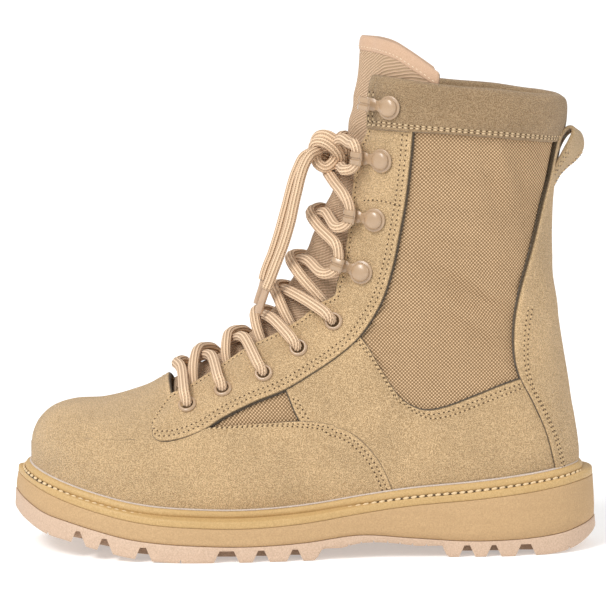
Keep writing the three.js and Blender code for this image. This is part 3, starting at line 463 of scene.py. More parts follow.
def suede(name, light, dark, contrast=0.075, edge_shade_and_highlight=False):
    finish = Finish(name, roughness=0.97, specular=0.08, sheen=0.2)
    nap = finish.noise(1900, 1, 0.5)
    clumps = finish.noise(1000, 2, 0.6)
    brushed = finish.noise(30, 3, 0.5)
    grain = finish.math("ADD", finish.math("MULTIPLY", nap, 0.8), finish.math("MULTIPLY", clumps, 0.2))
    tone = finish.mix(finish.between(grain, 0.5 - contrast, 0.5 + contrast), dark, light)
    shade = finish.between(brushed, 0.3, 0.7, 0.9, 1.08)
    if edge_shade_and_highlight:
        # Near a panel's edge: the darkening within about 1.2 mm is partly the dyed raw edge and partly painted shade
        # of the gap under it; the lightening out to about 2.2 mm, fading by 3.6 mm, is a painted highlight on the
        # raised rim.
        attribute = finish.tree.nodes.new("ShaderNodeAttribute")
        attribute.attribute_name = "edge"
        cut = finish.between(attribute.outputs["Fac"], 0.45, 1.15, 0.14, 1.0)
        rim_highlight = finish.between(attribute.outputs["Fac"], 2.2, 3.6, 1.09, 1.0)
        shade = finish.math("MULTIPLY", finish.math("MULTIPLY", shade, cut), rim_highlight)
    shaded = finish.tree.nodes.new("ShaderNodeVectorMath")
    shaded.operation = "SCALE"
    finish.link(tone, shaded.inputs[0])
    finish.link(shade, shaded.inputs["Scale"])
    normal = finish.bump(grain, 0.0014, finish.bump(brushed, 0.0014))
    return finish.done(shaded.outputs["Vector"], normal)


def woven(name, light, dark, pitch_across=1.85, pitch_up=2.1):
    """Ballistic cloth: raised dots in staggered rows, laid out in millimetres on the piece's own map"""
    finish = Finish(name, roughness=0.78, specular=0.18)
    u, v, _ = finish.split(finish.uv_place)
    wobble = finish.between(finish.noise(90, 2), 0.3, 0.7, -0.25, 0.25)
    across = finish.math("MULTIPLY", finish.math("ADD", u, wobble), 2 * math.pi / pitch_across)
    up = finish.math("MULTIPLY", finish.math("ADD", v, wobble), 2 * math.pi / pitch_up)
    dots = finish.math("MULTIPLY", finish.math("COSINE", across), finish.math("COSINE", up))
    height = finish.between(dots, -0.55, 0.75)
    fibre = finish.noise(2600, 2, 0.7)
    colour = finish.mix(height, dark, light)
    patchy = finish.mix(finish.between(finish.noise(30, 3), 0.35, 0.7, 0.0, 0.16), colour, dark)
    normal = finish.bump(height, 0.0006, finish.bump(fibre, 0.00015))
    return finish.done(patchy, normal)


def plain_cloth(name, light, dark, fine=1900, depth=0.0003, roughness=0.9):
    finish = Finish(name, roughness=roughness, specular=0.2, sheen=0.15)
    fuzz = finish.noise(fine, 3, 0.65)
    cloudy = finish.noise(60, 3)
    tone = finish.mix(finish.between(fuzz, 0.35, 0.65), dark, light)
    colour = finish.mix(finish.between(cloudy, 0.35, 0.7, 0, 0.25), tone, dark)
    return finish.done(colour, finish.bump(fuzz, depth))


def braided(name, light, dark):
    """Lace cover: lengthwise ribs of slanting strands, on a map with millimetres along and turns around"""
    finish = Finish(name, roughness=0.78, specular=0.25, sheen=0.15)
    along, around, _ = finish.split(finish.uv_place)
    turn = finish.math("MULTIPLY", around, 2 * math.pi * 9)
    run = finish.math("MULTIPLY", along, 2 * math.pi / 1.1)
    one = finish.math("SINE", finish.math("ADD", run, turn))
    other = finish.math("SINE", finish.math("SUBTRACT", run, turn))
    plait = finish.between(finish.math("MAXIMUM", one, other), -0.2, 1.0)
    ribs_and_groove_shade = finish.between(finish.math("COSINE", finish.math("MULTIPLY", around, 2 * math.pi * 9)), -0.9, 0.3)
    # The colour is darker in the grooves between the ribs and between the strands: painted shade.
    tone = finish.math("MULTIPLY", finish.between(plait, 0, 1, 0.72, 1), ribs_and_groove_shade)
    colour = finish.mix(tone, dark, light)
    normal = finish.bump(plait, 0.00015, finish.bump(ribs_and_groove_shade, 0.00045))
    return finish.done(colour, normal)


def rubbery(name, light, dark, roughness=0.62, streaks=False):
    finish = Finish(name, roughness=roughness, specular=0.35)
    sand = finish.noise(1300, 3, 0.6)
    cloudy = finish.noise(26, 4)
    tone = finish.mix(finish.between(sand, 0.35, 0.68), dark, light)
    drift = finish.noise(30, 3, 0.5, stretch=(1, 1, 14)) if streaks else cloudy
    colour = finish.mix(finish.between(drift, 0.4, 0.72, 0, 0.45), tone, dark)
    normal = finish.bump(sand, 0.00022, finish.bump(cloudy, 0.0005))
    return finish.done(colour, normal, finish.between(cloudy, 0.3, 0.7, roughness - 0.08, roughness + 0.1))


def enamelled(name, light, dark):
    finish = Finish(name, roughness=0.26, specular=0.5, coat=0.6)
    worn = finish.noise(260, 4, 0.6)
    colour = finish.mix(finish.between(worn, 0.35, 0.75, 0, 0.6), light, dark)
    return finish.done(colour, finish.bump(worn, 0.00008), finish.between(worn, 0.3, 0.7, 0.22, 0.36))


SUEDE = suede("tan_suede", (0.69, 0.485, 0.27), (0.43, 0.285, 0.145), edge_shade_and_highlight=True)
STRAP_SUEDE = suede("strap_suede", (0.60, 0.43, 0.25), (0.42, 0.285, 0.15))
CUFF_SUEDE = suede("cuff_suede", (0.44, 0.305, 0.175), (0.27, 0.175, 0.09))
NYLON = woven("ballistic_nylon", (0.83, 0.575, 0.345), (0.24, 0.14, 0.062), 1.65, 1.85)
TONGUE_NYLON = woven("tongue_nylon", (0.90, 0.65, 0.445), (0.42, 0.27, 0.16), 1.45, 1.7)
LINING = plain_cloth("lining_cloth", (0.42, 0.29, 0.15), (0.28, 0.18, 0.09))
BINDING = plain_cloth("binding_tape", (0.62, 0.42, 0.29), (0.48, 0.31, 0.20), fine=2400, depth=0.00015)
LACE = braided("lace_braid", (0.87, 0.63, 0.42), (0.56, 0.37, 0.22))
LACE_TIP = enamelled("lace_tip", (0.50, 0.34, 0.22), (0.38, 0.25, 0.155))
ENAMEL = enamelled("hook_enamel", (0.43, 0.29, 0.175), (0.35, 0.23, 0.135))
OUTSOLE_RUBBER = rubbery("outsole_rubber", (0.65, 0.475, 0.35), (0.50, 0.355, 0.25))
MIDSOLE_FOAM = rubbery("midsole_foam", (0.55, 0.365, 0.19), (0.44, 0.285, 0.145), 0.72, streaks=True)
WELTING = rubbery("welt_leather", (0.60, 0.405, 0.185), (0.46, 0.295, 0.12), 0.5)
WELT_THREAD = plain_cloth("welt_thread", (0.84, 0.66, 0.42), (0.60, 0.42, 0.22))
SEAM_THREAD = plain_cloth("seam_thread", (0.78, 0.58, 0.34), (0.54, 0.37, 0.19))
CUFF_THREAD = plain_cloth("cuff_thread", (0.80, 0.62, 0.40), (0.58, 0.42, 0.24))
TONGUE_THREAD = plain_cloth("tongue_thread", (0.86, 0.72, 0.55), (0.66, 0.48, 0.32))
# Near-black for shade: painted shade in the needle holes, the welt groove and inside the eyelets.
PAINTED_SHADE = plain_cloth("painted_shade", (0.10, 0.055, 0.022), (0.06, 0.033, 0.013))
# Light line along the foot of the upper above the welt: a painted highlight.
UPPER_EDGE_HIGHLIGHT = plain_cloth("upper_edge_highlight", (0.70, 0.61, 0.54), (0.48, 0.38, 0.30))


# Panels of the upper


def edge_on_last(rows, side, count=400):
    """An edge in the side view, as sections and angles on the last"""
    station, angle = find_on_last(smooth_run(side_view(rows), count), side)
    return np.stack([station, angle], axis=1)


def even_columns(edge, count):
    """Points of an edge at even distances along it"""
    points = last_point(edge[:, 0], edge[:, 1])
    length = np.concatenate([[0], np.cumsum(np.linalg.norm(np.diff(points, axis=0), axis=1))])
    even = np.linspace(0, length[-1], count)
    return np.stack([np.interp(even, length, edge[:, axis]) for axis in (0, 1)], axis=1)


RIM = np.array([0, 0.12, 0.4, 0.8, 1.3, 1.9, 2.5, 3.2, 3.9, 4.7, 5.5, 6.3, 7.2])


def row_places(length, rim_a, rim_b, middle):
    """Distances of a panel's rows from its first edge, close together near both edges"""
    reach = max(rim_a[-1] + rim_b[-1], 0.1)
    squeeze = min(1.0, 0.7 * length / reach)
    start = rim_a * squeeze
    end = length - rim_b[::-1] * squeeze
    inner = np.linspace(start[-1], end[0], middle + 2)[1:-1]
    return np.concatenate([start, inner, end])


def lay_rows(edge_a, edge_b, rim_a, rim_b, middle, path=None):
    """Sections and angles of a grid between two edges, with each row's distance from both"""
    samples = np.linspace(0, 1, 90)
    columns = len(edge_a)
    if path is None:
        station = edge_a[:, None, 0] + (edge_b[:, None, 0] - edge_a[:, None, 0]) * samples
        angle = edge_a[:, None, 1] + (edge_b[:, None, 1] - edge_a[:, None, 1]) * samples
    else:
        station, angle = path(samples)
    points = last_point(station, angle)
    steps = np.linalg.norm(np.diff(points, axis=1), axis=2)
    length = np.concatenate([np.zeros((columns, 1)), np.cumsum(steps, axis=1)], axis=1)
    grids = []
    for column in range(columns):
        places = row_places(length[column, -1], rim_a, rim_b, middle)
        share = np.interp(places, length[column], samples)
        grids.append((
            np.interp(share, samples, station[column]),
            np.interp(share, samples, angle[column]),
            places,
            length[column, -1] - places,
        ))
    return [np.stack([grid[index] for grid in grids], axis=1) for index in range(4)]


def edge_round(distance, radius):
    near = np.clip(distance / radius, 0, 1)
    return np.sqrt(np.maximum(1 - (1 - near) ** 2, 0))


# Creases: places in the side view, with their depth and width, on one side or both
CREASES = [
    ((-78, 62), (-58, 84), 0.7, 7, -1),
    ((-60, 58), (-40, 74), 0.5, 6, -1),
    ((30, 112), (52, 96), 1.2, 7, 0),
    ((26, 126), (60, 118), 1.2, 7, 0),
    ((62, 160), (112, 128), 1.9, 10, 0),
    ((64, 136), (108, 112), 1.8, 9, 0),
    ((58, 190), (108, 176), 1.5, 11, 0),
    ((96, 222), (110, 178), 1.6, 9, 0),
    ((118, 150), (130, 120), 0.9, 8, 0),
    ((114, 96), (130, 70), 0.6, 8, 0),
    ((84, 92), (112, 74), 0.6, 8, 0),
    ((20, 86), (44, 62), 0.6, 8, 0),
    ((-20, 60), (16, 52), 0.5, 8, -1),
    ((-84, 66), (-66, 92), 0.6, 7, 1),
    ((-58, 60), (-34, 82), 0.5, 7, 1),
]


def creased(points):
    """How far the creases lift or sink the upper at each point"""
    depth = np.zeros(points.shape[:-1])
    for start, end, height, width, side in CREASES:
        start, end = np.array(start, float), np.array(end, float)
        along = end - start
        away = points[..., [0, 2]] - start
        share = np.clip(np.sum(away * along, axis=-1) / np.dot(along, along), 0, 1)
        across = (away[..., 0] * along[1] - away[..., 1] * along[0]) / np.linalg.norm(along)
        beyond = np.linalg.norm(away - share[..., None] * along, axis=-1)
        fade = np.exp(-((beyond / (1.6 * width)) ** 2)) * np.sin(np.clip(share, 0.02, 0.98) * math.pi)
        wave = np.cos(math.pi * across / width)
        here = 1.0 if side == 0 else (np.sign(points[..., 1]) == side)
        depth += height * wave * fade * here
    return depth


def panel(name, grid, thickness, rows_a=(), rows_b=(), base=0.05, radius=1.3, ends=(True, True), tip=False):
    """A closed panel over the last, rounded at its edges and drawn in along its rows of stitches"""
    station, angle, from_a, from_b = grid
    bare = last_point(station, angle)
    middle = bare[len(bare) // 2]
    along = np.concatenate([[0], np.cumsum(np.linalg.norm(np.diff(middle, axis=0), axis=1))])
    edge = from_a if tip else np.minimum(from_a, from_b)
    if ends[0]:
        edge = np.minimum(edge, along[None, :])
    if ends[1]:
        edge = np.minimum(edge, along[-1] - along[None, :])
    height = base + thickness * edge_round(edge, radius)
    for distances, rows in ((from_a, rows_a), (from_b, rows_b)):
        for row in rows:
            height -= 0.3 * np.exp(-(((distances - row) / 0.55) ** 2)) * edge_round(edge, radius)
    height += creased(bare) * np.clip(edge / 6, 0, 1)
    top = raised_point(station, angle, height)
    bottom = raised_point(station, angle, np.minimum(height, base))
    bottom[:, 0], bottom[:, -1] = top[:, 0], top[:, -1]
    bottom[0], bottom[-1] = top[0], top[-1]
    if tip:
        shut = np.stack([top[-1, :, 0] - 0.4, np.full(len(middle), top[-1, :, 1].mean()), top[-1, :, 2]], axis=1)
        top[-1], bottom[-1] = (shut, shut)
    points = np.concatenate([top, bottom[::-1]], axis=0)
    up = np.concatenate(
        [np.zeros((1, len(middle))), np.cumsum(np.linalg.norm(np.diff(bare, axis=0), axis=2), axis=0)], axis=0
    )
    uv = np.stack([np.broadcast_to(along, up.shape), up], axis=-1)
    uv = np.concatenate([uv, uv[::-1]], axis=0)
    piece = grid_piece(name, points, uv, edge=np.concatenate([edge, edge[::-1]], axis=0))
    return piece, top, last_normal(station, angle)


def row_path(top, normals, distances, wanted):
    """The line over a panel at a distance from one of its edges"""
    path, up = [], []
    for column in range(top.shape[1]):
        order = np.argsort(distances[:, column])
        places = distances[order, column]
        path.append([np.interp(wanted, places, top[order, column, axis]) for axis in range(3)])
        up.append([np.interp(wanted, places, normals[order, column, axis]) for axis in range(3)])
    return np.array(path), unit(np.array(up))


# Stitches

STITCH_LENGTH = 1.7
STITCH_PITCH = 2.6


def bead_shape(name, size, segments=6, rings=5):
    deselect()
    bpy.ops.mesh.primitive_uv_sphere_add(segments=segments, ring_count=rings, radius=0.5)
    bead = bpy.context.object
    bead.name = name
    bpy.ops.transform.resize(value=size)
    bpy.ops.object.transform_apply(location=False, rotation=False, scale=True)
    count = len(bead.data.vertices)
    corners = np.empty(count * 3)
    bead.data.vertices.foreach_get("co", corners)
    faces = [tuple(face.vertices) for face in bead.data.polygons]
    bpy.data.objects.remove(bead)
    return corners.reshape(-1, 3), faces


def repeated(name, shape, places, along, up):
    """One mesh of a small shape copied to many places, with its X along the row and Z up"""
    corners, faces = shape
    along = unit(along)
    across = unit(np.cross(up, along))
    up = np.cross(along, across)
    points = (
        places[:, None]
        + corners[None, :, 0:1] * along[:, None]
        + corners[None, :, 1:2] * across[:, None]
        + corners[None, :, 2:3] * up[:, None]
    )
    shift = len(corners)
    copies = [tuple(corner + shift * index for corner in face) for index in range(len(places)) for face in faces]
    mesh = bpy.data.meshes.new(name)
    mesh.from_pydata((points.reshape(-1, 3) * MM).tolist(), [], copies)
    mesh.update()
    piece = bpy.data.objects.new(name, mesh)
    bpy.context.collection.objects.link(piece)
    deselect()
    piece.select_set(True)
    bpy.context.view_layer.objects.active = piece
    bpy.ops.object.shade_smooth()
    return piece


def spaced(path, up, pitch, start=0.5):
    """Evenly spaced places on a path, with their directions and normals"""
    length = np.concatenate([[0], np.cumsum(np.linalg.norm(np.diff(path, axis=0), axis=1))])
    places = np.arange(pitch * start, length[-1] - pitch * 0.3, pitch)
    point = np.stack([np.interp(places, length, path[:, axis]) for axis in range(3)], axis=1)
    ahead = np.stack([np.interp(places + 0.4, length, path[:, axis]) for axis in range(3)], axis=1)
    behind = np.stack([np.interp(places - 0.4, length, path[:, axis]) for axis in range(3)], axis=1)
    normal = np.stack([np.interp(places, length, up[:, axis]) for axis in range(3)], axis=1)
    return point, ahead - behind, unit(normal)


seam_rows = []
cuff_seams = []


def stitched(path, up, rows=seam_rows):
    rows.append((path, up))


THROAT_EDGE = [
    [0.624, 3.040], [0.617, 2.881], [0.620, 2.717], [0.606, 2.616], [0.597, 2.457], [0.588, 2.270],
    [0.582, 2.137], [0.575, 2.019], [0.562, 1.867], [0.557, 1.790], [0.526, 1.722], [0.493, 1.612],
    [0.447, 1.501], [0.402, 1.405], [0.356, 1.294], [0.310, 1.191], [0.279, 1.128],
]
EYESTAY_TAB = [[0.257, 1.094], [0.238, 1.012], [0.225, 0.888]]
EYESTAY_REAR = [
    [0.701, 2.780], [0.701, 2.719], [0.696, 2.545], [0.689, 2.360], [0.678, 2.174], [0.665, 1.985],
    [0.644, 1.746], [0.606, 1.520], [0.566, 1.383], [0.511, 1.245], [0.466, 1.149], [0.411, 1.067],
    [0.357, 0.953], [0.320, 0.823], [0.274, 0.726], [0.238, 0.704], [0.224, 0.770],
]
VAMP_EDGE = [
    [0.2555, 1.185], [0.262, 1.100], [0.272, 0.980], [0.283, 0.870], [0.300, 0.810], [0.325, 0.847], [0.384, 0.890],
    [0.439, 0.912], [0.493, 0.933], [0.538, 0.912], [0.575, 0.847], [0.606, 0.717], [0.635, 0.523],
    [0.653, 0.328], [0.668, 0.090], [0.674, -0.120],
]
STRAP_EDGE = [[0.445, 1.290], [0.466, 1.156], [0.484, 0.997], [0.497, 0.860], [0.520, 0.620], [0.560, 0.300]]
QUARTER_EDGE = [
    [0.470, 1.320], [0.520, 1.520], [0.560, 1.640], [0.606, 1.509], [0.638, 1.318], [0.671, 1.132],
    [0.690, 1.070], [0.720, 1.029], [0.757, 1.050], [0.802, 1.112], [0.857, 1.194], [0.920, 1.270],
]
BACKSTAY_EDGE = [
    [0.962, 2.700], [0.956, 2.655], [0.944, 2.485], [0.930, 2.325], [0.912, 2.112], [0.894, 1.904],
    [0.882, 1.697], [0.879, 1.456], [0.888, 1.270], [0.914, 1.076], [0.938, 0.793], [0.951, 0.521],
    [0.959, 0.302], [0.962, 0.100],
]
COLLAR_EDGE = [
    [0.6245, 3.006], [0.674, 2.991], [0.728, 2.970], [0.782, 2.954], [0.855, 2.938], [0.909, 2.917],
    [0.950, 2.905], [0.972, 2.890],
]
CUFF_EDGE = [
    [0.6205, 2.728], [0.701, 2.718], [0.746, 2.713], [0.819, 2.697], [0.891, 2.676], [0.946, 2.655],
]
TONGUE_TOP = [
    [0.6045, 3.208], [0.629, 3.198], [0.658, 3.171], [0.687, 3.119], [0.713, 3.066], [0.744, 3.000],
]

DOUBLE = (3.2, 5.7)


# Eyestays: strips along the throat that carry the eyelets and hooks
for label, side in SIDES:
    front = even_columns(edge_on_last([[0.6185, 2.79]] + THROAT_EDGE[2:] + EYESTAY_TAB, side), 170)
    rear = even_columns(edge_on_last(EYESTAY_REAR, side), 170)
    grid = lay_rows(front, rear, RIM[:9], RIM[:11], 7)
    piece, top, normals = panel(
        f"eyestay_{label}_suede", grid, 2.6, rows_a=(3.0,), rows_b=DOUBLE, ends=(False, True), base=0.4
    )
    dress(piece, SUEDE, [f"eyestay_{label}"])
    stitched(*row_path(top, normals, grid[2], 3.0))
    for distance in DOUBLE:
        stitched(*row_path(top, normals, grid[3], distance))

# Quarters: the heel counter panels with their straps up to the eyestays
for label, side in SIDES:
    upper_edge = even_columns(edge_on_last(QUARTER_EDGE, side), 130)
    low_station = np.linspace(10.2, 13.3, 200)
    low_angle = side * floor_angle(low_station, lambda x: welt_z(x) + 1)
    strap = edge_on_last(STRAP_EDGE, side, 200)
    lower_edge = np.concatenate([strap, np.stack([low_station, low_angle], axis=1)])
    lower_edge = even_columns(lower_edge, 130)
    grid = lay_rows(upper_edge, lower_edge, RIM, RIM[:11], 18)
    piece, top, normals = panel(
        f"quarter_{label}_suede", grid, 1.7, rows_a=DOUBLE, rows_b=DOUBLE, ends=(False, False)
    )
    dress(piece, SUEDE, [f"quarter_{label}"])
    for distance in DOUBLE:
        path, up = row_path(top, normals, grid[2], distance)
        keep = path[:, 0] > last_x(0.55)
        stitched(path[keep], up[keep])
        path, up = row_path(top, normals, grid[3], distance)
        keep = (path[:, 2] > last_z(0.84)) & (path[:, 2] < last_z(1.14))
        stitched(path[keep], up[keep])

# Vamp: the toe and the sides of the forefoot, up to its stitched rear edge
vamp_half = [edge_on_last(VAMP_EDGE, side, 300) for _, side in SIDES]
vamp_rear = even_columns(np.concatenate([vamp_half[0][::-1], vamp_half[1]]), 240)
vamp_share = vamp_rear[:, 1] / floor_angle(vamp_rear[:, 0], welt_z)
vamp_share = np.maximum.accumulate(np.clip(vamp_share, -1, 1))


def vamp_path(samples):
    station = vamp_rear[:, None, 0] * (1 - samples[None, :])
    angle = vamp_share[:, None] * floor_angle(station, welt_z)
    return station, angle


grid = lay_rows(vamp_rear, vamp_rear, RIM, np.array([0.0, 0.02, 0.5]), 60, vamp_path)
piece, top, normals = panel("vamp_suede", grid, 2.2, rows_a=DOUBLE, ends=(False, False), tip=True)
dress(piece, SUEDE, ["vamp"])
for distance in DOUBLE:
    path, up = row_path(top, normals, grid[2], distance)
    keep = (path[:, 0] > last_x(0.30))
    for _, side in SIDES:
        half = keep & (np.sign(path[:, 1] - 2) == side)
        stitched(path[half], up[half])


# Backstay: a strap up the back of the heel and shaft
backstay_edges = [even_columns(edge_on_last(BACKSTAY_EDGE, side), 120) for _, side in SIDES]
lateral_edge = backstay_edges[0] + np.array([0, 2 * math.pi])
grid = lay_rows(backstay_edges[1], lateral_edge, RIM[:9], RIM[:9], 14)
piece, top, normals = panel("backstay_suede", grid, 2.4, ends=(False, False), radius=1.8, base=0.5)
dress(piece, SUEDE, ["backstay"])
for distances in (grid[2], grid[3]):
    for distance in (7.2, 9.7):
        path, up = row_path(top, normals, distances, distance)
        keep = path[:, 2] < last_z(1.75)
        stitched(path[keep], up[keep])


# Shell of the upper, with its lining


def throat_edge_of(side):
    edge = edge_on_last(THROAT_EDGE + [[0.262, 1.170], [0.2555, 1.195]], side)
    order = np.argsort(edge[:, 0])
    return edge[order]


def collar_edge_of(side):
    edge = edge_on_last([[0.600, 3.010]] + COLLAR_EDGE + [[0.984, 2.815]], side)
    order = np.argsort(np.abs(edge[:, 1]))
    return edge[order]


def shell_half(name, side, outer, inner, drop):
    """One half of the upper's wall, from the sole to the collar, between two heights over the last"""
    throat = throat_edge_of(side)
    collar = collar_edge_of(side)
    shares = np.linspace(0, 1, 90)
    rows = []
    for share in shares:
        station = np.linspace(7.05, 20.9, 150)
        edge = np.interp(station, throat[:, 0], np.abs(throat[:, 1]))
        low = floor_angle(station, lambda x: welt_z(x) + 0.5)
        angle = edge + (low - edge) * share
        top = np.interp(angle, np.abs(collar[:, 1]), collar[:, 0]) - drop
        station = np.minimum(station, top)
        rows.append(np.stack([station, side * angle], axis=1))
    rows = np.array(rows)
    outside = raised_point(rows[..., 0], rows[..., 1], np.full(rows.shape[:2], outer))
    outside += last_normal(rows[..., 0], rows[..., 1]) * creased(outside)[..., None] * 0.8
    inside = raised_point(rows[..., 0], rows[..., 1], np.full(rows.shape[:2], inner))
    inside[:, 0], inside[:, -1] = outside[:, 0], outside[:, -1]
    inside[0], inside[-1] = outside[0], outside[-1]
    uv = np.stack([outside[..., 0] * 0.9 + outside[..., 1] * 0.25, outside[..., 2]], axis=-1)
    points = np.concatenate([outside, inside[::-1]])
    return grid_piece(name, points, np.concatenate([uv, uv[::-1]]))


shell = joined("nylon_shell", [shell_half(f"shell_{label}", side, 0.0, -1.2, 0.25) for label, side in SIDES])
dress(shell, NYLON, ["upper"])
lining = joined("shaft_lining", [shell_half(f"lining_{label}", side, -1.3, -2.2, 0.3) for label, side in SIDES])
dress(lining, LINING, ())

# Cuff: a soft padded band folded over the collar
cuff_low = [edge_on_last(CUFF_EDGE + [[0.972, 2.649], [0.98, 2.645]], side) for _, side in SIDES]
cuff_high = [edge_on_last(COLLAR_EDGE + [[0.9755, 2.86]], side) for _, side in SIDES]


def ring_of(halves):
    """An edge around the back, from the lateral front to the medial front"""
    lateral, medial = halves[0].copy(), halves[1].copy()
    lateral[:, 1] += 2 * math.pi
    joined_edge = np.concatenate([medial, lateral[::-1]])
    return even_columns(joined_edge, 260)


cuff_a, cuff_b = ring_of(cuff_low), ring_of(cuff_high)
CUFF_ROWS = [
    (0.000, 0.25), (0.004, 1.10), (0.015, 1.80), (0.030, 2.15), (0.060, 2.30), (0.095, 2.05), (0.130, 2.30),
    (0.165, 2.10), (0.200, 2.45), (0.270, 3.05), (0.360, 3.50), (0.460, 3.70), (0.560, 3.75), (0.660, 3.70),
    (0.760, 3.60), (0.850, 3.40), (0.920, 3.05), (0.970, 2.40), (1.005, 1.40), (1.020, 0.20), (1.022, -1.20),
    (1.012, -2.60), (0.985, -3.70), (0.930, -4.50), (0.850, -4.90), (0.740, -5.00), (0.600, -4.90),
    (0.440, -4.60), (0.280, -4.10), (0.140, -3.40), (0.020, -2.70), (-0.08, -2.30), (0.000, 0.25),
]
CUFF_FRONT_ROW = 6.0
cuff_rows, cuff_heights = [], []
middle_line = last_point((cuff_a[:, 0] + cuff_b[:, 0]) / 2, (cuff_a[:, 1] + cuff_b[:, 1]) / 2)
around = np.concatenate([[0], np.cumsum(np.linalg.norm(np.diff(middle_line, axis=0), axis=1))])
from_front = np.minimum(around, around[-1] - around)
for share, height in CUFF_ROWS:
    place = cuff_a + (cuff_b - cuff_a) * share
    round_off = edge_round(from_front, 2.6)
    soft = 0.35 * np.sin(around / 19.0) * math.sin(math.pi * min(max(share, 0), 1))
    row_height = -1.0 + (height + 1.0) * round_off + soft * round_off
    if height > 0:
        over_eyestay = np.clip((29 - from_front) / 4.5, 0, 1)
        over_eyestay = over_eyestay * over_eyestay * (3 - 2 * over_eyestay) * np.clip(from_front / 1.5, 0, 1)
        lift = np.interp(share, [0, 0.1, 0.3, 0.6, 1.0], [2.9, 2.3, 1.3, 0.6, 0.2])
        row_height = row_height + over_eyestay * lift
        row_height = row_height - 0.45 * np.exp(-(((from_front - 3.2) / 0.7) ** 2))
        row_height = row_height - 0.45 * np.exp(-(((from_front - CUFF_FRONT_ROW) / 0.7) ** 2))
    cuff_rows.append(place)
    cuff_heights.append(row_height)
cuff_rows, cuff_heights = np.array(cuff_rows), np.array(cuff_heights)
cuff_points = raised_point(cuff_rows[..., 0], cuff_rows[..., 1], cuff_heights)
cuff_up = last_normal(cuff_rows[..., 0], cuff_rows[..., 1])
piece = subdivided(grid_piece("cuff_pad", cuff_points))
dress(piece, CUFF_SUEDE, ["cuff"])
for row in (5, 7):
    stitched(cuff_points[row], cuff_up[row], cuff_seams)
for distance in (3.2, CUFF_FRONT_ROW):
    for end in (0, 1):
        ring = cuff_points[3:16] if end == 0 else cuff_points[3:16, ::-1]
        ring_up = cuff_up[3:16] if end == 0 else cuff_up[3:16, ::-1]
        path = np.array([[np.interp(distance, around, line[:, axis]) for axis in range(3)] for line in ring])
        up = np.array([[np.interp(distance, around, line[:, axis]) for axis in range(3)] for line in ring_up])
        stitched(path, unit(up), cuff_seams)

# Tongue: a padded sheet under the facings that swells into the throat and stands above the collar
TONGUE_EDGE = [
    [0.744, 3.000], [0.730, 2.800], [0.712, 2.600], [0.690, 2.200], [0.664, 1.850], [0.610, 1.560],
    [0.520, 1.300], [0.420, 1.120], [0.320, 1.000], [0.268, 1.010],
]
TONGUE_PUFF = 4.6
tongue_edge = edge_on_last(TONGUE_EDGE, 1)
tongue_edge = tongue_edge[np.argsort(tongue_edge[:, 0])]
tongue_top = edge_on_last(TONGUE_TOP, 1)
tongue_top = tongue_top[np.argsort(tongue_top[:, 1])]
throat_line = throat_edge_of(1)


def tongue_height(station, angle):
    edge = np.maximum(np.interp(station, throat_line[:, 0], throat_line[:, 1]) - 0.12, 0.01)
    turn = np.minimum(1, np.abs(angle) / edge)
    growth = 0.35 + 0.65 * np.clip((station - 7.0) / 1.3, 0, 1)
    growth = growth * growth * (3 - 2 * growth)
    quilt = 0.35 * np.sin(station * 5.2) * np.cos(turn * math.pi / 2)
    return (TONGUE_PUFF + quilt) * np.cos(turn * math.pi / 2) ** 2 * growth - WALL - 0.36


tongue_across = np.linspace(-1, 1, 81)
tongue_rows = []
for share in tongue_across:
    widest = np.interp(19.0, tongue_edge[:, 0], tongue_edge[:, 1])
    finish_station = np.interp(abs(share) * widest, tongue_top[:, 1], tongue_top[:, 0])
    station = np.linspace(6.9, finish_station, 170)
    reach = np.interp(station, tongue_edge[:, 0], tongue_edge[:, 1])
    tongue_rows.append(np.stack([station, share * reach], axis=1))
tongue_rows = np.array(tongue_rows).transpose(1, 0, 2)
station, angle = tongue_rows[..., 0], tongue_rows[..., 1]
height = tongue_height(station, angle)
tongue_bare = raised_point(station, angle, height)
from_top = np.cumsum(np.linalg.norm(np.diff(tongue_bare, axis=0), axis=2)[::-1], axis=0)[::-1]
from_top = np.concatenate([from_top, np.zeros((1, from_top.shape[1]))])
edge_gap = np.minimum(from_top, (1 - np.abs(tongue_across)) * 30)
thick = 0.6 + 2.6 * edge_round(edge_gap, 4.0)
tongue_front = raised_point(station, angle, height)
tongue_back = raised_point(station, angle, height - thick)
tongue_back[:, 0], tongue_back[:, -1] = tongue_front[:, 0], tongue_front[:, -1]
tongue_back[0] = tongue_front[0]
tongue_back[-1] = tongue_front[-1]
down = np.concatenate([np.zeros((1, 81)), np.cumsum(np.linalg.norm(np.diff(tongue_bare, axis=0), axis=2), axis=0)])
over = np.concatenate([
    np.zeros((170, 1)), np.cumsum(np.linalg.norm(np.diff(tongue_bare, axis=1), axis=2), axis=1)
], axis=1)
over = over - over[:, 40:41]
uv = np.stack([over, down], axis=-1)
points = np.concatenate([tongue_front, tongue_back[::-1]])
piece = grid_piece("tongue_pad", points, np.concatenate([uv, uv[::-1]]))
dress(piece, TONGUE_NYLON, ["tongue"])

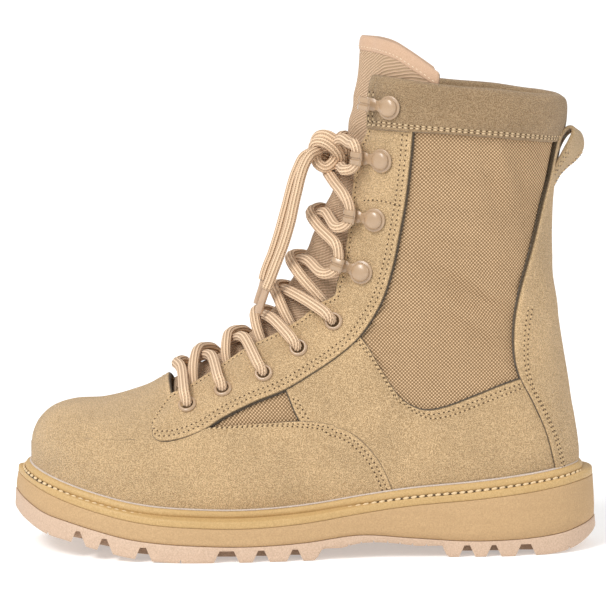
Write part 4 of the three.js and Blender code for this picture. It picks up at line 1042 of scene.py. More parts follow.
# Tape bound over the tongue's top edge, with its row of light stitches
TAPE = 7.0
tape_rows = []
tape_heights = []
for depth, lift in ((TAPE, 0.12), (TAPE - 0.3, 0.5), (5.0, 0.62), (3.0, 0.65), (1.2, 0.6), (0.3, 0.3), (-0.45, -0.5)):
    line = []
    for column in range(81):
        places = from_top[:, column][::-1]
        line.append([np.interp(max(depth, 0), places, tongue_rows[::-1, column, axis]) for axis in (0, 1)])
    line = np.array(line)
    tape_rows.append(line)
    tape_heights.append(tongue_height(line[:, 0], line[:, 1]) + lift)
for depth, lift in ((0.0, -1.6), (0.6, -2.6), (1.8, -3.3), (3.6, -3.7), (5.6, -3.85), (TAPE, -3.8), (TAPE, 0.12)):
    line = []
    for column in range(81):
        places = from_top[:, column][::-1]
        line.append([np.interp(depth, places, tongue_rows[::-1, column, axis]) for axis in (0, 1)])
    line = np.array(line)
    tape_rows.append(line)
    tape_heights.append(tongue_height(line[:, 0], line[:, 1]) + lift)
tape_rows, tape_heights = np.array(tape_rows), np.array(tape_heights)
tape_points = raised_point(tape_rows[..., 0], tape_rows[..., 1], tape_heights)
tape_points[6, :, 2] += 0.9
tape_points[7, :, 2] += 0.9
middle_of_ends = tape_points[:, [0, -1]].mean(axis=0, keepdims=True)
tape_points = np.concatenate([
    np.broadcast_to(middle_of_ends[:, :1], (len(tape_points), 1, 3)), tape_points,
    np.broadcast_to(middle_of_ends[:, 1:], (len(tape_points), 1, 3)),
], axis=1)
piece = subdivided(grid_piece("tongue_tape", tape_points))
dress(piece, BINDING, ())
tape_stitch = tape_points[2, 2:-2]
tape_up = last_normal(tape_rows[2, 1:-1, 0], tape_rows[2, 1:-1, 1])


# Sole


SOLE_OUTLINE = [
    [0.007, 0.009, 0.182], [0.021, -0.091, 0.269], [0.053, -0.226, 0.360], [0.096, -0.335, 0.433],
    [0.148, -0.414, 0.477], [0.218, -0.477, 0.501], [0.291, -0.500, 0.484], [0.357, -0.495, 0.449],
    [0.439, -0.469, 0.399], [0.536, -0.418, 0.367], [0.634, -0.368, 0.375], [0.728, -0.344, 0.400],
    [0.811, -0.331, 0.409], [0.881, -0.302, 0.393], [0.942, -0.231, 0.338], [0.978, -0.134, 0.243],
    [0.995, -0.039, 0.147],
]
TOE_TIP = 0.095
HEEL_TIP = 0.053


def sole_outline():
    """The sole's outline from above, closed, with its outward directions"""
    rows = np.array(SOLE_OUTLINE)
    corners = np.concatenate([
        [[0, TOE_TIP]], rows[:, [0, 1]], [[1, HEEL_TIP]], rows[::-1][:, [0, 2]],
    ])
    corners = np.stack([(corners[:, 0] - 0.5) * SOLE_LENGTH, corners[:, 1] * SOLE_WIDTH], axis=1)
    wrapped = np.concatenate([corners[-4:], corners, corners[:5]])
    steps = np.sqrt(np.linalg.norm(np.diff(wrapped, axis=0), axis=1))
    places = np.concatenate([[0], np.cumsum(steps)])
    curve = smooth_table(places, wrapped)
    dense = curve(np.linspace(places[4], places[4 + len(corners)], 4000))
    toe = 0
    heel = int(np.argmin(np.linalg.norm(dense - corners[1 + len(rows)], axis=1)))
    halves = []
    for piece_of in (dense[toe:heel + 1], dense[heel:][::-1]):
        length = np.concatenate([[0], np.cumsum(np.linalg.norm(np.diff(piece_of, axis=0), axis=1))])
        even = np.linspace(0, length[-1], 181)
        halves.append(np.stack([np.interp(even, length, piece_of[:, axis]) for axis in (0, 1)], axis=1))
    return halves


lateral_outline, medial_outline = sole_outline()
whole_outline = np.concatenate([lateral_outline, medial_outline[::-1][1:-1]])
outline_forward = np.roll(whole_outline, -1, axis=0) - np.roll(whole_outline, 1, axis=0)
outline_out = unit(np.stack([outline_forward[:, 1], -outline_forward[:, 0]], axis=1))
if np.sum(outline_out * (whole_outline - whole_outline.mean(axis=0))) < 0:
    outline_out = -outline_out
COUNT = len(whole_outline)
LATERAL_INDEX = np.arange(181)
MEDIAL_INDEX = (-np.arange(181)) % COUNT


def outline_at(inset):
    return whole_outline - outline_out * inset


def sole_block(name, profile, columns_across=6):
    """A slab of the sole. The profile lists insets with height functions from the bottom up."""
    rings = []
    for inset, height_of in profile:
        ring = outline_at(inset)
        rings.append(np.concatenate([ring, height_of(ring[:, 0])[:, None]], axis=1))
    rings = np.array(rings)
    lateral, medial = rings[:, LATERAL_INDEX], rings[:, MEDIAL_INDEX]
    shares = np.linspace(0, 1, columns_across + 1)[1:-1, None, None]
    over_top = lateral[-1] + (medial[-1] - lateral[-1]) * shares
    under = medial[0] + (lateral[0] - medial[0]) * shares
    for strip, height_of in ((over_top, profile[-1][1]), (under, profile[0][1])):
        strip[..., 2] = height_of(strip[..., 0])
    points = np.concatenate([lateral, over_top, medial[::-1], under, lateral[:1]])
    return grid_piece(name, points)


def shifted(height_of, shift):
    return lambda x: height_of(x) + shift


def blended(low, high, share):
    return lambda x: low(x) + (high(x) - low(x)) * share


outsole = sole_block("outsole_rubber_block", [
    (1.4, tread_z), (0.45, shifted(tread_z, 0.25)), (0.05, shifted(tread_z, 1.0)), (0.0, shifted(tread_z, 2.2)),
    (0.25, blended(tread_z, ledge_z, 0.6)), (0.3, shifted(ledge_z, -0.8)), (0.6, shifted(ledge_z, -0.15)),
    (1.6, ledge_z),
])

LUG_GAPS = [
    (0.074, 0.103), (0.123, 0.153), (0.193, 0.225), (0.337, 0.384), (0.407, 0.439), (0.469, 0.500),
    (0.783, 0.814), (0.833, 0.862), (0.887, 0.926),
]
LUG_DEPTH = 6.2
LUG_REACH = 20
LUG_SLOPE = 3.0


def wedge(name, outline, y_from, y_to):
    """A cutter: a side-view outline drawn out across the sole"""
    corners = [(x, y, z) for y in (y_from, y_to) for x, z in outline]
    count = len(outline)
    deselect()
    bpy.ops.mesh.primitive_circle_add(vertices=count, radius=1, fill_type="NGON")
    cutter = bpy.context.object
    cutter.name = name
    for vertex, corner in zip(cutter.data.vertices, corners[:count]):
        vertex.co = Vector(corner) * MM
    bpy.ops.object.mode_set(mode="EDIT")
    bpy.ops.mesh.select_all(action="SELECT")
    bpy.ops.mesh.extrude_region_move(TRANSFORM_OT_translate={"value": (0, (y_to - y_from) * MM, 0)})
    bpy.ops.mesh.select_all(action="SELECT")
    bpy.ops.mesh.normals_make_consistent(inside=False)
    bpy.ops.object.mode_set(mode="OBJECT")
    return cutter


def outline_y(x, side):
    half = lateral_outline if side < 0 else medial_outline
    return float(np.interp(x, half[:, 0], half[:, 1]))


cutters = []
for index, (opening, closing) in enumerate(LUG_GAPS):
    x0, x1 = last_x(opening), last_x(closing)
    foot = max(float(tread_z(x0)), float(tread_z(x1)))
    low = min(float(tread_z(x0)), float(tread_z(x1))) - LUG_DEPTH
    roof = foot + LUG_DEPTH
    outline = [(x0 - LUG_SLOPE, low), (x1 + LUG_SLOPE, low), (x1 - LUG_SLOPE, roof), (x0 + LUG_SLOPE, roof)]
    for side in (-1, 1):
        edge = outline_y((x0 + x1) / 2, side)
        inner = edge - side * LUG_REACH
        outer = edge + side * 20
        cutters.append(wedge(f"lug_gap_{index}", outline, min(inner, outer), max(inner, outer)))
    if index != 5:
        at = x1 + 4
        y0 = outline_y(at, -1) + LUG_REACH + 4
        y1 = outline_y(at, 1) - LUG_REACH - 4
        base = float(tread_z(at))
        slot = [(at, base - 4), (at + 4, base - 4), (at + 4, base + 3.2), (at, base + 3.2)]
        cutters.append(wedge(f"tread_groove_{index}", slot, y0, y1))
for index, x in enumerate((22.6, 29.0, 35.4, 42.6, 49.0, 55.4, 62.6)):
    base = float(tread_z(x))
    notch = [(x - 1.6, base - 3), (x + 1.6, base - 3), (x, base + 1.4)]
    cutters.append(wedge(f"waist_notch_{index}", notch, -90, 90))
for index, x in enumerate((-133.5, -63.7, 137.5)):
    base = float(tread_z(x))
    notch = [(x - 1.5, base - 3), (x + 1.5, base - 3), (x, base + 2.0)]
    cutters.append(wedge(f"edge_notch_{index}", notch, -90, 90))
cutter = joined("tread_cutters", cutters)


def cut_away(piece, cutter_of):
    deselect()
    piece.select_set(True)
    bpy.context.view_layer.objects.active = piece
    modifier = piece.modifiers.new("cut", "BOOLEAN")
    modifier.operation = "DIFFERENCE"
    modifier.solver = "EXACT"
    modifier.use_self = False
    modifier.object = cutter_of
    bpy.ops.object.modifier_apply(modifier=modifier.name)
    bpy.data.objects.remove(cutter_of)
    return piece


def crisp(piece, width, angle=35, segments=2):
    deselect()
    piece.select_set(True)
    bpy.context.view_layer.objects.active = piece
    modifier = piece.modifiers.new("edges", "BEVEL")
    modifier.limit_method = "ANGLE"
    modifier.angle_limit = math.radians(angle)
    modifier.width = width * MM
    modifier.segments = segments
    bpy.ops.object.modifier_apply(modifier=modifier.name)
    bpy.ops.object.shade_smooth_by_angle(angle=math.radians(38))
    return piece


outsole = crisp(cut_away(outsole, cutter), 0.35)
dress(outsole, OUTSOLE_RUBBER, ["outsole"])

STRIP_TOP = -4.4
midsole = sole_block("midsole_foam_block", [
    (2.2, shifted(ledge_z, 0.1)), (1.2, shifted(ledge_z, 0.12)), (0.75, shifted(ledge_z, 0.5)),
    (0.7, blended(ledge_z, welt_z, 0.25)), (0.9, blended(ledge_z, welt_z, 0.5)),
    (1.25, blended(ledge_z, welt_z, 0.75)), (1.6, welt_z), (1.75, shifted(welt_z, 0.5)), (2.1, shifted(welt_z, 0.7)),
    (3.4, shifted(welt_z, 0.72)),
])
dress(midsole, MIDSOLE_FOAM, ["midsole"])

# Welt: a strip around the upper with a rounded bead against it and a row of stitches in its groove
strip = sole_block("welt_strip", [
    (3.6, shifted(welt_z, 0.75)), (2.1, shifted(welt_z, 0.8)), (1.8, shifted(welt_z, 1.0)),
    (1.75, shifted(welt_z, 1.8)), (1.85, shifted(feather_z, STRIP_TOP - 2.2)),
    (2.05, shifted(feather_z, STRIP_TOP - 1.5)), (2.5, shifted(feather_z, STRIP_TOP - 1.05)),
    (3.1, shifted(feather_z, STRIP_TOP - 0.85)), (3.9, shifted(feather_z, STRIP_TOP - 0.75)),
    (4.8, shifted(feather_z, STRIP_TOP - 0.4)), (5.8, shifted(feather_z, STRIP_TOP)),
    (7.4, shifted(feather_z, STRIP_TOP)),
])


def upper_loop(drop, out):
    """A closed line around the upper at a height below its feather line"""
    ends = np.linspace(13.0, 15.0, 400)
    back = last_point(ends, math.pi)
    reach = back[:, 2] - (feather_z(back[:, 0]) - drop)
    final = float(np.interp(0, reach, ends))
    station = np.concatenate([np.linspace(0, 4, 60), np.linspace(4, 12, 80)[1:], np.linspace(12, final, 70)[1:]])
    turn = floor_angle(station, shifted(feather_z, -drop), out)
    turn[-1] = math.pi
    lateral = raised_point(station, -turn, np.full(station.shape, out))
    medial = raised_point(station, turn, np.full(station.shape, out))
    return np.concatenate([lateral, medial[::-1][1:]])


def even_loop(points, count):
    closed = np.concatenate([points, points[:1]])
    length = np.concatenate([[0], np.cumsum(np.linalg.norm(np.diff(closed, axis=0), axis=1))])
    even = np.linspace(0, length[-1], count + 1)
    loop = np.stack([np.interp(even, length, closed[:, axis]) for axis in range(3)], axis=1)[:-1]
    for _ in range(3):
        loop = (np.roll(loop, 1, axis=0) + 2 * loop + np.roll(loop, -1, axis=0)) / 4
    return loop


def swept_ring(name, loop, profile):
    """A closed profile carried around a closed level line. The profile lists (out, up) distances."""
    forward = np.roll(loop, -1, axis=0) - np.roll(loop, 1, axis=0)
    out = unit(np.stack([forward[:, 1], -forward[:, 0], np.zeros(len(loop))], axis=1))
    if np.sum(out * (loop - loop.mean(axis=0))) < 0:
        out = -out
    up = np.array([0, 0, 1.0])
    rows = [loop + out * away + up * rise for away, rise in profile + profile[:1]]
    points = np.array(rows)
    points = np.concatenate([points, points[:, :1]], axis=1)
    return grid_piece(name, points)


bead_line = even_loop(upper_loop(2.6, 2.9), 420)
BEAD = [(-1.6, -2.6), (1.3, -2.6), (2.35, -1.7), (2.75, -0.3), (2.4, 1.1), (1.4, 2.05), (0.1, 2.35), (-1.6, 2.3)]
bead = subdivided(swept_ring("welt_bead", bead_line, BEAD))
dress(bead, WELTING, ())
dress(strip, WELTING, ["welt"])
# Light line along the foot of the upper above the welt: a painted highlight.
upper_edge_highlight = even_loop(upper_loop(0.1, 3.1), 420)
HIGHLIGHT_SHAPE = [(-1.2, -0.5), (0.1, -0.5), (0.05, 0.1), (-1.2, 0.35)]
dress(swept_ring("upper_edge_highlight", upper_edge_highlight, HIGHLIGHT_SHAPE), UPPER_EDGE_HIGHLIGHT, ())

stitch_line = even_loop(upper_loop(4.85, 6.15), 900)
stitch_line = np.concatenate([stitch_line, stitch_line[:1]])
welt_point, welt_along, _ = spaced(stitch_line, np.tile([0, 0, 1.0], (len(stitch_line), 1)), 4.2)
welt_up = np.tile([0, 0, 1.0], (len(welt_point), 1))
lean = unit(welt_along) + np.array([0, 0, 0.14])
stitches = repeated("welt_stitches", bead_shape("welt_stitch", (3.6, 1.3, 1.6), 8, 6), welt_point, lean, welt_up)
dress(stitches, WELT_THREAD, ())
# A near-black ring in the groove under the welt bead: painted shadow between the bead and the strip.
groove_ring = even_loop(upper_loop(4.85, 5.4), 420)
GROOVE = [(-0.5, -0.6), (1.25, -0.6), (1.2, -0.1), (-0.5, 0.3)]
dress(swept_ring("welt_groove_shadow", groove_ring, GROOVE), PAINTED_SHADE, ())

# Footbed inside the boot
bed_station = np.linspace(1.4, 13.4, 90)
bed_height = shifted(welt_z, 4.3)
bed_turn = floor_angle(bed_station, bed_height, -2.3)
bed_rows = []
for share in np.linspace(-1, 1, 25):
    edge = raised_point(bed_station, np.sign(share) * bed_turn, np.full(bed_station.shape, -2.3))
    other = raised_point(bed_station, -np.sign(share) * bed_turn, np.full(bed_station.shape, -2.3))
    centre = (edge + other) / 2
    row = centre + (edge - centre) * abs(share)
    row[:, 2] = bed_height(row[:, 0]) + 1.2 * abs(share) ** 3
    bed_rows.append(row)
bed_top = np.array(bed_rows)
bed_low = bed_top - np.array([0, 0, 3.0])
bed_low[:, 0], bed_low[:, -1] = bed_top[:, 0], bed_top[:, -1]
bed_low[0], bed_low[-1] = bed_top[0], bed_top[-1]
footbed = grid_piece("footbed", np.concatenate([bed_top, bed_low[::-1]]))
dress(footbed, LINING, ["insole"])

# Eyelets and hooks


def seat_on_last(place, side, height):
    """Where a piece sits on an eyestay: its section and angle, its origin, and its axes. The axes point
    towards the throat, up along the facing and outwards."""
    station, angle = (float(value[0]) for value in find_on_last(side_view([place]), side))
    origin = raised_point(station, angle, height)
    outward = last_normal(station, angle)
    rise = raised_point(station + 0.2, angle, height) - raised_point(station - 0.2, angle, height)
    rise = unit(rise - outward * np.dot(rise, outward))
    return station, angle, origin, np.cross(rise * side, outward), rise, outward


def turned(name, profile, count=44):
    """A piece turned around Z from a profile of radii and heights"""
    turns = np.linspace(0, 2 * math.pi, count + 1)
    rows = [np.stack([radius * np.cos(turns), radius * np.sin(turns), np.full(count + 1, rise)], axis=1)
            for radius, rise in profile]
    rows = np.array(rows)
    rows[:, -1] = rows[:, 0]
    return grid_piece(name, rows)


def placed_copy(shape, name, seat):
    """A copy of a piece, moved to its seat on the last"""
    _, _, origin, throatwards, _, outward = seat
    deselect()
    shape.select_set(True)
    bpy.context.view_layer.objects.active = shape
    bpy.ops.object.duplicate()
    copy = bpy.context.object
    copy.name = name
    copy.data.name = name
    up = np.cross(outward, throatwards)
    columns = [[*throatwards, 0], [*up, 0], [*outward, 0], [*(origin * MM), 1]]
    copy.matrix_world = Matrix(columns).transposed()
    bpy.ops.object.transform_apply(location=True, rotation=True, scale=True)
    return copy


EYELETS = [[0.290, 1.038], [0.355, 1.141], [0.429, 1.252], [0.492, 1.424], [0.557, 1.612]]
HOOKS = [[0.609, 1.952], [0.634, 2.245], [0.647, 2.563], [0.663, 2.843]]
FACING_TOP = 3.0

eyelet_shape = turned("eyelet_shape", [
    (3.1, -2.8), (3.1, 0.45), (3.25, 0.85), (3.6, 1.1), (4.05, 1.1), (4.5, 0.8), (4.85, 0.3), (4.9, -0.1),
    (4.0, -0.15), (3.7, -2.8), (3.1, -2.8),
])


def hook_arm():
    """The hook's strip: from the rivet it narrows to a neck, then widens and curls over with a groove"""
    bend = np.linspace(-math.pi / 2, math.pi / 2, 11)
    line = [(2.5, 0.6), (4.2, 0.6), (5.4, 0.6), (6.4, 0.6), (7.2, 0.6), (8.0, 0.6), (9.0, 0.6), (10.6, 0.6)]
    line += [(12.6 + 3.0 * math.cos(turn), 3.6 + 3.0 * math.sin(turn)) for turn in bend]
    line += [(11.4, 6.6), (10.0, 6.65), (9.0, 6.8), (8.4, 7.1)]
    line = np.array(line)
    half = np.interp(line[:8, 0], [2.5, 4.5, 6.4, 7.4, 9.0], [4.8, 3.6, 2.6, 2.6, 3.3])
    half = np.concatenate([half, np.full(len(line) - 8, 3.3)])
    half[-2:] = (3.45, 3.6)
    along = np.gradient(line, axis=0)
    along = unit(along)
    outer = np.stack([along[:, 1], -along[:, 0]], axis=1)
    groove = np.clip((np.arange(len(line)) - 8) / 3, 0, 1)
    section = [
        (-0.90, 0.62, 0), (-0.24, 0.62, 0), (-0.12, 0.62, 0.75), (0.12, 0.62, 0.75), (0.24, 0.62, 0),
        (0.90, 0.62, 0), (1.0, 0.3, 0), (1.0, -0.3, 0), (0.9, -0.6, 0), (-0.9, -0.6, 0), (-1.0, -0.3, 0),
        (-1.0, 0.3, 0), (-0.90, 0.62, 0),
    ]
    rows = []
    for across, lift, sunk in section:
        place = line + outer * (lift - sunk * groove)[:, None]
        rows.append(np.stack([place[:, 0], half * across, place[:, 1]], axis=1))
    rows = np.array(rows)
    ends = [np.broadcast_to(rows[:-1, end].mean(axis=0), (len(rows), 1, 3)) for end in (0, -1)]
    return grid_piece("hook_arm", np.concatenate([ends[0], rows, ends[1]], axis=1))


# A near-black disc inside each eyelet ring: painted shade of the hole under the eyelet.
eyelet_depth = turned("eyelet_depth", [(0.0, 0.16), (2.6, 0.16), (3.2, 0.3), (3.2, -0.2), (0.0, -0.2)])


hook_shape = joined("hook_shape", [
    turned("hook_plate", [(0.0, 0.0), (6.0, 0.0), (6.25, 0.35), (6.1, 0.8), (5.8, 0.95), (0.0, 0.95)]),
    turned("hook_cap", [
        (0.0, 0.9), (4.45, 0.9), (4.8, 1.3), (4.9, 1.75), (4.7, 2.3), (4.1, 2.85), (3.1, 3.25), (1.7, 3.45),
        (0.0, 3.5),
    ]),
    hook_arm(),
])
deselect()
hook_shape.select_set(True)
bpy.context.view_layer.objects.active = hook_shape
bpy.ops.object.shade_smooth_by_angle(angle=math.radians(48))

seats = {}
shade_discs = []
for label, side in SIDES:
    for index, place in enumerate(EYELETS):
        seat = seat_on_last(place, side, FACING_TOP + 0.1)
        seats[side, index] = seat
        name = f"eyelet_{label}_{index + 1}"
        dress(placed_copy(eyelet_shape, f"{name}_ring", seat), ENAMEL, [name])
        shade_discs.append(placed_copy(eyelet_depth, f"{name}_depth", seat))
    for index, place in enumerate(HOOKS):
        height = FACING_TOP + 0.35 if index < 3 else 4.6
        seat = seat_on_last(place, side, height)
        seats[side, 5 + index] = seat
        name = f"hook_{label}_{index + 1}"
        dress(placed_copy(hook_shape, f"{name}_metal", seat), ENAMEL, [name])
for shape in (eyelet_shape, eyelet_depth, hook_shape):
    bpy.data.objects.remove(shape)
dress(joined("eyelet_shade_discs", shade_discs), PAINTED_SHADE, ())

# Laces
LACE_WIDE = 5.7
LACE_FLAT = 4.7
RIBS = 9


def lace(name, points, count=None, wide=LACE_WIDE, flat=LACE_FLAT, up=None, ribs=RIBS):
    """A length of ribbed lace through a few points, its wider side along the surface below it"""
    points = np.asarray(points, float)
    length = run_length(points)
    count = count or max(12, int(length / 1.1))
    line = smooth_run(points, count)
    forward = unit(np.gradient(line, axis=0))
    if up is None:
        out = unit(line - lace_heart(line))
    else:
        out = np.broadcast_to(unit(np.asarray(up, float)), line.shape).copy()
    out = unit(out - forward * np.sum(out * forward, axis=1, keepdims=True))
    for _ in range(4):
        out[1:-1] = unit(out[:-2] + 2 * out[1:-1] + out[2:])
        out = unit(out - forward * np.sum(out * forward, axis=1, keepdims=True))
    across = np.cross(forward, out)
    sides = ribs * 4
    turns = np.linspace(0, 2 * math.pi, sides + 1)
    ripple = 1 + 0.05 * np.cos(turns * ribs)
    rows = []
    for turn, grow in zip(turns, ripple):
        rows.append(line + (across * wide * math.cos(turn) + out * flat * math.sin(turn)) * grow / 2)
    rows = np.array(rows)
    rows[-1] = rows[0]
    ends = [np.broadcast_to(line[end], (sides + 1, 1, 3)) for end in (0, -1)]
    run = np.concatenate([[0], np.cumsum(np.linalg.norm(np.diff(line, axis=0), axis=1))])
    run = np.concatenate([[0], run, [run[-1]]])
    around = np.broadcast_to((turns / (2 * math.pi))[:, None], (sides + 1, len(run)))
    uv = np.stack([np.broadcast_to(run, around.shape), around], axis=-1)
    return grid_piece(name, np.concatenate([ends[0], rows, ends[1]], axis=1), uv), line


def lace_heart(line):
    """Places inside the boot below a line, from which its lace looks outwards"""
    inside = line.copy()
    inside[:, 0] = line[:, 0] + 30
    inside[:, 1] = 4 + (line[:, 1] - 4) * 0.2
    inside[:, 2] = line[:, 2] - 24
    return inside


def edge_angle(station):
    return float(np.interp(station, throat_line[:, 0], throat_line[:, 1]))


def over_last(rows):
    rows = np.array(rows, float)
    return raised_point(rows[:, 0], rows[:, 1], rows[:, 2])


def from_eyelet(index, side):
    """The lace coming out of an eyelet and turning over its rim towards the throat"""
    station, angle, origin, throatwards, rise, outward = seats[side, index]
    steps = ((0.5, -4.5), (0.8, -1.0), (1.3, 1.4), (2.9, 3.0), (5.4, 3.9))
    return [origin + throatwards * reach + outward * lift for reach, lift in steps]


def crossing(start, start_side, finish, finish_side, low, eyelets):
    """The middle of a lace between two sides, as places over the throat"""
    s0, s1 = seats[start_side, start][0], seats[finish_side, finish][0]
    a0, a1 = edge_angle(s0) * start_side, edge_angle(s1) * finish_side
    middle = 4.1 if low else 8.3
    if eyelets:
        rows = [(0.27, -0.72, 5.6 if low else 6.6), (0.62, 0.0, middle), (0.80, 0.55, 3.9 if low else 6.3)]
    else:
        rows = [(0.13, -0.5, 5.4 if low else 7.2), (0.24, 0.0, middle), (0.42, 0.5, 4.2 if low else 6.6)]
    places = []
    for share, turn, height in rows:
        edge = a0 if turn < 0 else a1
        places.append((s0 + (s1 - s0) * share, edge * abs(turn), height))
    return places


def under_facing(index, side, shift=0.0):
    """The lace going down between the tongue and the facing"""
    station = seats[side, index][0] + shift
    edge = edge_angle(station)
    rows = [(edge * 0.9, 1.2), (edge + 0.03, -2.0), (edge + 0.2, -3.6)]
    return list(over_last([(station, side * angle, height) for angle, height in rows]))


def around_hook(index, side):
    """The lace passing inside a hook's curl, from below it to above it"""
    _, _, origin, throatwards, rise, outward = seats[side, index]
    steps = (
        (18.6, -6.9, 4.6), (15.4, -6.0, 4.1), (13.4, -4.0, 3.8), (12.5, -1.4, 3.6), (12.5, 1.4, 3.6), (13.0, 4.0, 3.8),
        (14.2, 6.8, 4.3), (16.2, 9.6, 5.0),
    )
    return [origin + throatwards * x + rise * y + outward * z for x, y, z in steps]


lace_pieces = []


def add_lace(name, points, **options):
    piece, line = lace(name, points, **options)
    lace_pieces.append(piece)
    return line


bar = from_eyelet(0, -1) + list(over_last([
    (7.26, -0.34, 5.9), (7.12, 0.0, 5.6), (7.26, 0.34, 5.9),
])) + from_eyelet(0, 1)[::-1]
add_lace("lace_bar_run", bar)
for index in range(1, 5):
    for side in (-1, 1):
        low = side < 0
        points = from_eyelet(index, side)
        points += list(over_last(crossing(index, side, index - 1, -side, low, True)))
        points += under_facing(index - 1, -side, 0.1)
        add_lace(f"lace_run_{index}_{side}", points)

KNOT = np.array([12.2, 0.5, 206.8])
for side in (-1, 1):
    points = under_facing(4, side, 0.15)[::-1]
    here = side
    for index in (5, 6, 7):
        low = here > 0
        previous = index - 1
        points += list(over_last(crossing(previous, here, index, -here, low, False)))
        here = -here
        points += around_hook(index, here)
    leave = points.pop()[1]
    for x, z, share in ((23.4, 212.9, 0.25), (19.9, 214.8, 0.5), (16.8, 213.2, 0.75)):
        points.append(np.array([x, leave + (0.5 - leave) * share, z]))
    points.append(KNOT + np.array([1.5, here * 1.5, 1.5]))
    add_lace(f"lace_tied_{side}", points)

# Knot: two turns wrapped over a small loop
WRAPS = [
    [(5.5, 3.5, -7.5), (7.5, -1.0, -6.5), (6.8, -5.6, -2.2), (3.0, -7.4, 2.6), (-2.2, -6.6, 6.0), (-6.6, -3.0, 5.6),
     (-8.0, 1.6, 2.2), (-5.5, 4.6, -1.5), (0.5, 5.2, -4.5)],
    [(9.0, 3.0, -3.5), (10.0, -1.2, -1.8), (8.2, -5.0, 2.4), (4.0, -6.2, 6.4), (-1.0, -4.6, 9.4), (-5.4, -0.6, 8.6),
     (-6.8, 3.4, 5.0), (-4.0, 5.6, 1.0), (2.5, 5.4, -1.5)],
    [(4.0, -1.0, -1.0), (2.6, -5.2, -4.6), (-1.4, -5.6, -7.4), (-5.4, -4.6, -5.4), (-6.6, -3.4, -1.0), (-4.0, -2.4, 2.6),
     (0.5, -1.0, 3.5)],
]
for index, points in enumerate(WRAPS):
    add_lace(f"knot_wrap_{index}", KNOT + np.array(points), up=(0.2, -1.0, 0.3) if index == 2 else (-0.4, -0.8, 0.6))
knot_pieces, crossing_pieces = lace_pieces[-3:], lace_pieces[:-3]
crossing_nodes = ["lace_bar", "lace_tie_lateral", "lace_tie_medial"]
crossing_nodes += [f"lace_crossing_{row}" for row in range(1, 8)]
dress(joined("lace_through_boot", crossing_pieces), LACE, crossing_nodes)
dress(joined("lace_knot_wraps", knot_pieces), LACE, ["lace_knot"])

# The lace's free ends hang from the knot and lean on the instep
END_FRONT = [
    [2.7, -7.5, 205.9], [-0.3, -9.6, 200.7], [-2.3, -11.6, 194.8], [-3.9, -13, 188.2],
    [-5.6, -13.5, 180.9], [-7.1, -14, 173.6], [-8.9, -14, 166.9], [-11.2, -14, 159.6], [-13.5, -14, 153.6],
    [-15.8, -14, 147.6], [-17.7, -14, 142.6], [-20.2, -14, 136.3], [-22.5, -14, 129.6], [-24.2, -14, 124],
]
END_BACK = [
    [-0.3, -2.0, 204.9], [-3.6, -3.4, 199.1], [-5.9, -5, 193.1], [-7.6, -6.5, 187.1],
    [-9.2, -7.2, 180.8], [-10.9, -7.8, 174.5], [-12.7, -8, 167.8], [-14.7, -8, 161.2], [-16.9, -8, 154.5],
    [-19.1, -8, 149.1], [-20.9, -8, 143.8], [-22.2, -8, 137.8], [-23.9, -8, 132.4], [-25.1, -8, 128.4],
]
TIP_LENGTH = 13
for label, rows in (("front", END_FRONT), ("back", END_BACK)):
    whole = smooth_run([KNOT + np.array([-5.0, -3.0 if label == "front" else 1.0, 1.5])] + rows, 200)
    length = np.concatenate([[0], np.cumsum(np.linalg.norm(np.diff(whole, axis=0), axis=1))])
    stop = length[-1] - TIP_LENGTH
    limp = whole[length < stop]
    stiff = whole[length > stop - 1.5]
    piece, line = lace(f"lace_end_{label}_cord", limp, count=90, wide=5.4, flat=4.8, up=(0, -1, 0))
    dress(piece, LACE, [f"lace_end_{label}"])
    tip, _ = lace(f"lace_tip_{label}_sheath", stiff, count=24, wide=3.7, flat=3.4, up=(0, -1, 0), ribs=6)
    dress(tip, LACE_TIP, [f"lace_tip_{label}"])

# Pull loop: the strap at the top of the backstay, bowed out and folded back under the cuff
LOOP_NEAR = [
    [131.0, 208.0], [131.4, 213.0], [133.3, 217.8], [136.0, 220.6], [138.2, 220.8], [138.8, 218.4], [136.9, 214.0],
    [134.0, 208.6], [130.8, 202.4], [127.5, 196.0], [124.6, 189.5], [121.8, 183.0],
]
LOOP_FAR = [
    [132.6, 206.6], [134.8, 211.6], [137.8, 215.8], [141.2, 217.6], [144.2, 216.2], [145.9, 212.0], [145.4, 207.2],
    [142.0, 202.6], [137.6, 199.0], [133.6, 194.8], [130.6, 189.4], [127.6, 183.6],
]
LOOP_Y = (-9.0, 15.0)
STRAP = 1.9
near_rail, far_rail = smooth_run(LOOP_NEAR, 72), smooth_run(LOOP_FAR, 72)
shares = np.concatenate([[0, 0.015, 0.04], np.linspace(0.08, 0.92, 11), [0.96, 0.985, 1]])
faces = []
for offset in (0.5, -0.5):
    rows = []
    for share in shares:
        line = near_rail + (far_rail - near_rail) * share ** 0.85
        along = unit(np.gradient(line, axis=0))
        out = np.stack([-along[:, 1], along[:, 0]], axis=1)
        edge = float(edge_round(min(share, 1 - share) * 24, 0.9))
        line = line + out * STRAP * offset * edge
        at = np.full(72, LOOP_Y[0] + (LOOP_Y[1] - LOOP_Y[0]) * share)
        rows.append(np.stack([line[:, 0], at, line[:, 1]], axis=1))
    faces.append(np.array(rows))
outer, inner = faces
inner[0], inner[-1] = outer[0], outer[-1]
for end in (0, -1):
    shut = (outer[:, end] + inner[:, end]) / 2
    outer[:, end], inner[:, end] = shut, shut
strap = grid_piece("pull_strap", np.concatenate([outer, inner[::-1]]))
dress(strap, STRAP_SUEDE, ["pull_loop"])
TAIL = slice(34, 70)
for row in (2, 4, -5, -3):
    stitched(outer[row, TAIL], unit(outer[row, TAIL] - inner[row, TAIL]))

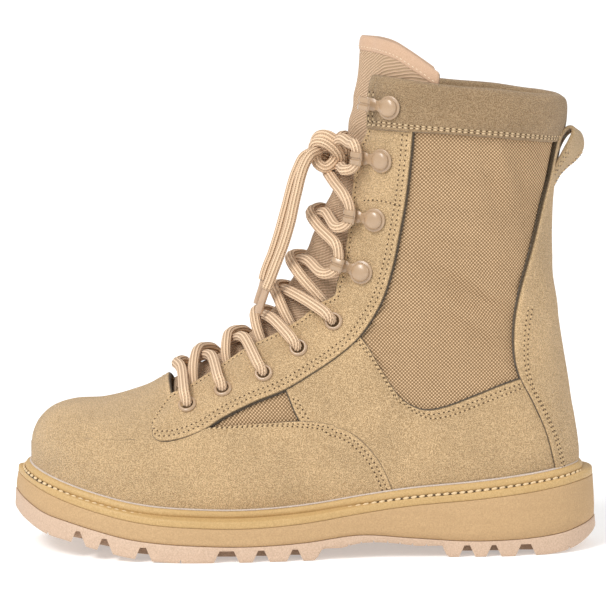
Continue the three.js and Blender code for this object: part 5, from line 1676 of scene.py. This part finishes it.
# Row of stitches across each eyestay, between the second and the third hook
for label, side in SIDES:
    across = edge_on_last([[0.610, 2.345], [0.640, 2.352], [0.668, 2.338], [0.688, 2.322]], side, 40)
    path = raised_point(across[:, 0], across[:, 1], np.full(40, 3.05))
    stitched(path, last_normal(across[:, 0], across[:, 1]))

# Seams
seam_shape = bead_shape("seam_stitch", (STITCH_LENGTH, 0.75, 0.7))
hole_shape = bead_shape("seam_hole", (0.95, 0.85, 0.4), 6, 4)
CUFF_PITCH = 3.1
cuff_shape = bead_shape("cuff_stitch", (2.1, 0.9, 0.8))
hole_places = []
for rows, shape, pitch, thread, name in (
    (seam_rows, seam_shape, STITCH_PITCH, SEAM_THREAD, "seam_stitches"),
    (cuff_seams, cuff_shape, CUFF_PITCH, CUFF_THREAD, "cuff_stitches"),
):
    kept = [(path, up) for path, up in rows if len(path) > 3]
    places = [np.concatenate(parts) for parts in zip(*[spaced(path, up, pitch, 0.5) for path, up in kept])]
    hole_places += [spaced(path, up, pitch, 1.0) for path, up in kept]
    dress(repeated(name, shape, *places), thread, ())
holes = [np.concatenate(parts) for parts in zip(*hole_places)]
# Near-black flat beads between the stitches: painted shade in the needle holes.
dress(repeated("needle_hole_shadows", hole_shape, holes[0] + holes[2] * 0.14, holes[1], holes[2]), PAINTED_SHADE, ())
tape_places = spaced(tape_stitch, tape_up, 2.6)
tape_row = repeated("tongue_stitches", bead_shape("tape_stitch", (1.7, 0.6, 0.5)), *tape_places)
dress(tape_row, TONGUE_THREAD, ())

# Studio
bpy.ops.mesh.primitive_plane_add(size=90, location=(0, 0, 0))
floor = bpy.context.object
floor.name = "studio_floor"
white = bpy.data.materials.new("studio_white")
white.use_nodes = True
paper = white.node_tree.nodes["Principled BSDF"]
paper.inputs["Base Color"].default_value = (0.8, 0.8, 0.8, 1)
paper.inputs["Roughness"].default_value = 1.0
paper.inputs["Specular IOR Level"].default_value = 0.0
paper.inputs["Emission Color"].default_value = (1, 1, 1, 1)
paper.inputs["Emission Strength"].default_value = 0.34
floor.data.materials.append(white)

world = bpy.data.worlds.new("studio")
bpy.context.scene.world = world
world.use_nodes = True
world.node_tree.nodes["Background"].inputs["Color"].default_value = (1, 1, 1, 1)
world.node_tree.nodes["Background"].inputs["Strength"].default_value = 0.66


def aimed(kind, name, place, power):
    bpy.ops.object.light_add(type=kind, location=place)
    light = bpy.context.object
    light.name = name
    light.data.energy = power
    light.rotation_euler = (Vector((0, 0, 0.12)) - Vector(place)).to_track_quat("-Z", "Y").to_euler()
    return light.data


aimed("SUN", "soft_sun", (-1.0, -1.1, 1.9), 1.55).angle = math.radians(24)
window = aimed("AREA", "window_light", (-0.9, -1.3, 1.1), 8)
window.size = 0.45
fill = aimed("AREA", "heel_light", (1.4, -0.5, 0.9), 4.5)
fill.size = 0.8
bpy.context.scene.view_settings.view_transform = "Standard"
bpy.context.scene.view_settings.look = "None"
